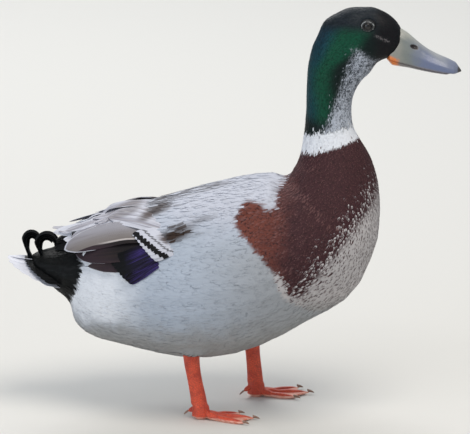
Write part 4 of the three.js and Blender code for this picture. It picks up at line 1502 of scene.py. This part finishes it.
def billMaterial():
    look, tree, shader = newMaterial("billHorn", **{"Coat Weight": 0.25, "Coat Roughness": 0.25})
    tone = tonesOf(billPaint)
    where = placeInMm(tree)
    x, _, z = split(where)
    broad = noise(where, 0.12, 3.0)
    fine = noise(where, 0.9, 4.0)

    def above(name, height):
        slope, low, high = billReach[name]
        return (x * slope + height).ramp(low, high)

    along = broad * 16 + x
    colour = blend(along.ramp(*billReach["green"]), tone["base"], tone["green"])
    colour = blend(along.ramp(*billReach["lilac"]), colour, tone["lilac"])
    # painted highlight: a pale band along the top ridge, fading out towards the tip
    colour = blend(above("ridge", z) * x.ramp(*billReach["ridgeFades"]), colour, tone["ridge"])
    colour = blend(fine.ramp(0.58, 0.75) * 0.45, colour, tone["fleck"])
    colour = blend(above("rim", z) * 0.8, colour, tone["rim"])
    gape = (fine * 7 + x).ramp(*billReach["gapeBack"]) * above("gapeTop", fine * 3 + z)
    colour = blend(gape, colour, tone["gape"])
    # the nostril: a dark oval of painted shade for its opening
    tilt = math.radians(nostrilAt["tilt"])
    ahead = x - nostrilAt["place"][0]
    higher = z - nostrilAt["place"][1]
    long = (ahead * math.cos(tilt) - higher * math.sin(tilt)) / nostrilAt["half"][0]
    tall = (ahead * math.sin(tilt) + higher * math.cos(tilt)) / nostrilAt["half"][1]
    colour = blend((long * long + tall * tall).ramp(*nostrilAt["rim"]), colour, tone["nostril"])
    colour = blend((fine * 1.2 + x).ramp(*billReach["nail"]), colour, tone["nail"])
    connect(tree, shader, {"Base Color": colour, "Roughness": broad * 0.2 + 0.3,
                           "Normal": bumped(fine, 0.25, 0.4)})
    return look


clawPaint = {"dark": "6a4a3a", "light": "a58370", "grain": 1.2}


def clawMaterial():
    look, tree, shader = newMaterial("clawHorn", **{"Coat Weight": 0.3, "Coat Roughness": 0.2})
    grain = noise(placeInMm(tree), clawPaint["grain"], 4.0)
    colour = blend(grain, paint(clawPaint["dark"]), paint(clawPaint["light"]))
    connect(tree, shader, {"Base Color": colour, "Roughness": grain * 0.25 + 0.25,
                           "Normal": bumped(grain, 0.3)})
    return look


legPaint = {"orange": "e65632", "deep": "c43c22", "creaseShade": "8d2f20", "web": "f3b8a4", "fold": "dc7a60"}
webHeights = (3.4, 2.4)       # over these heights the toes' scales give way to the pale web


def legMaterial():
    look, tree, shader = newMaterial("legScales", **{"Coat Weight": 0.2, "Coat Roughness": 0.3,
                                                     "Subsurface Weight": 0.08, "Subsurface Scale": 0.004})
    tone = tonesOf(legPaint)
    where = placeInMm(tree)
    cells = addNode(tree, "TexVoronoi", {"Vector": where, "Scale": 0.62}, feature="DISTANCE_TO_EDGE")
    scale = cells.ramp(0.02, 0.16)
    folds = noise(where, 0.5, 3.0, stretch=(0.35, 1.4, 1.0))
    colour = blend(noise(where, 0.1, 3.0).ramp(0.35, 0.7), tone["orange"], tone["deep"])
    # painted shade in the grooves between the scales
    colour = blend((1 - scale) * 0.55, colour, tone["creaseShade"])
    web = blend(folds.ramp(0.45, 0.65), tone["web"], tone["fold"])
    colour = blend(split(where)[2].ramp(*webHeights), colour, web)
    connect(tree, shader, {"Base Color": colour, "Roughness": scale * -0.12 + 0.55,
                           "Normal": bumped(scale * 0.6 + folds * 0.8, 0.5, 0.6)})
    return look


billShape = {"voxel": 0.45, "rounds": 24, "swell": 0.35}
billBack = {"by": 4.0, "from": 152}       # its root runs on over the face
legShape = {"voxel": 0.55, "rounds": 2, "swell": 0.1}
legEase = {"low": 5.0, "high": 9.0, "rounds": 26}
clawShape = {"voxel": 0.2, "rounds": 3}
clawGrowth = {"along": 1.3, "across": 0.78}       # slender, and long enough to run on into the toe


def stretchClaw(mesh, node, toe):
    low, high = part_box(node)
    tip = Vector((low.x if toe == "hind" else high.x, (low.y + high.y) / 2, low.z))
    middle = sum((vert.co for vert in mesh.vertices), Vector()) / len(mesh.vertices)
    ahead = (middle - tip).normalized()
    for vert in mesh.vertices:
        out = vert.co - tip
        along = ahead * out.dot(ahead)
        vert.co = tip + along * clawGrowth["along"] + (out - along) * clawGrowth["across"]


billLook = billMaterial()
clawLook = clawMaterial()
legLook = legMaterial()
for title, slot, *nodes in (("billUpper", "bill", "bill_upper", "bill_nail"),
                            ("billLower", "bill_rim", "bill_lower")):
    horn = remeshed(mergedCopy(title, nodes), **billShape)
    spots = places(horn.data)
    spots[:, 0] -= billBack["by"] * soft(billBack["from"] - spots[:, 0], 6)
    setPlaces(horn.data, spots)
    finishPiece(horn, billLook, slot, *nodes)
for name in sides:
    nodes = [f"shank_{name}", f"foot_{name}"]
    leg = remeshed(mergedCopy(f"leg_{name}", nodes), **legShape)
    easedAbove(leg, **legEase)
    finishPiece(leg, legLook, "leg_skin", *nodes)
    for toe in ("inner", "middle", "outer", "hind"):
        node = f"claw_{name}_{toe}"
        claw = mergedCopy(f"clawTip_{name}_{toe}", [node])
        stretchClaw(claw.data, node, toe)
        finishPiece(remeshed(claw, **clawShape), clawLook, "claw", node)
print("bill, legs and eyes made")
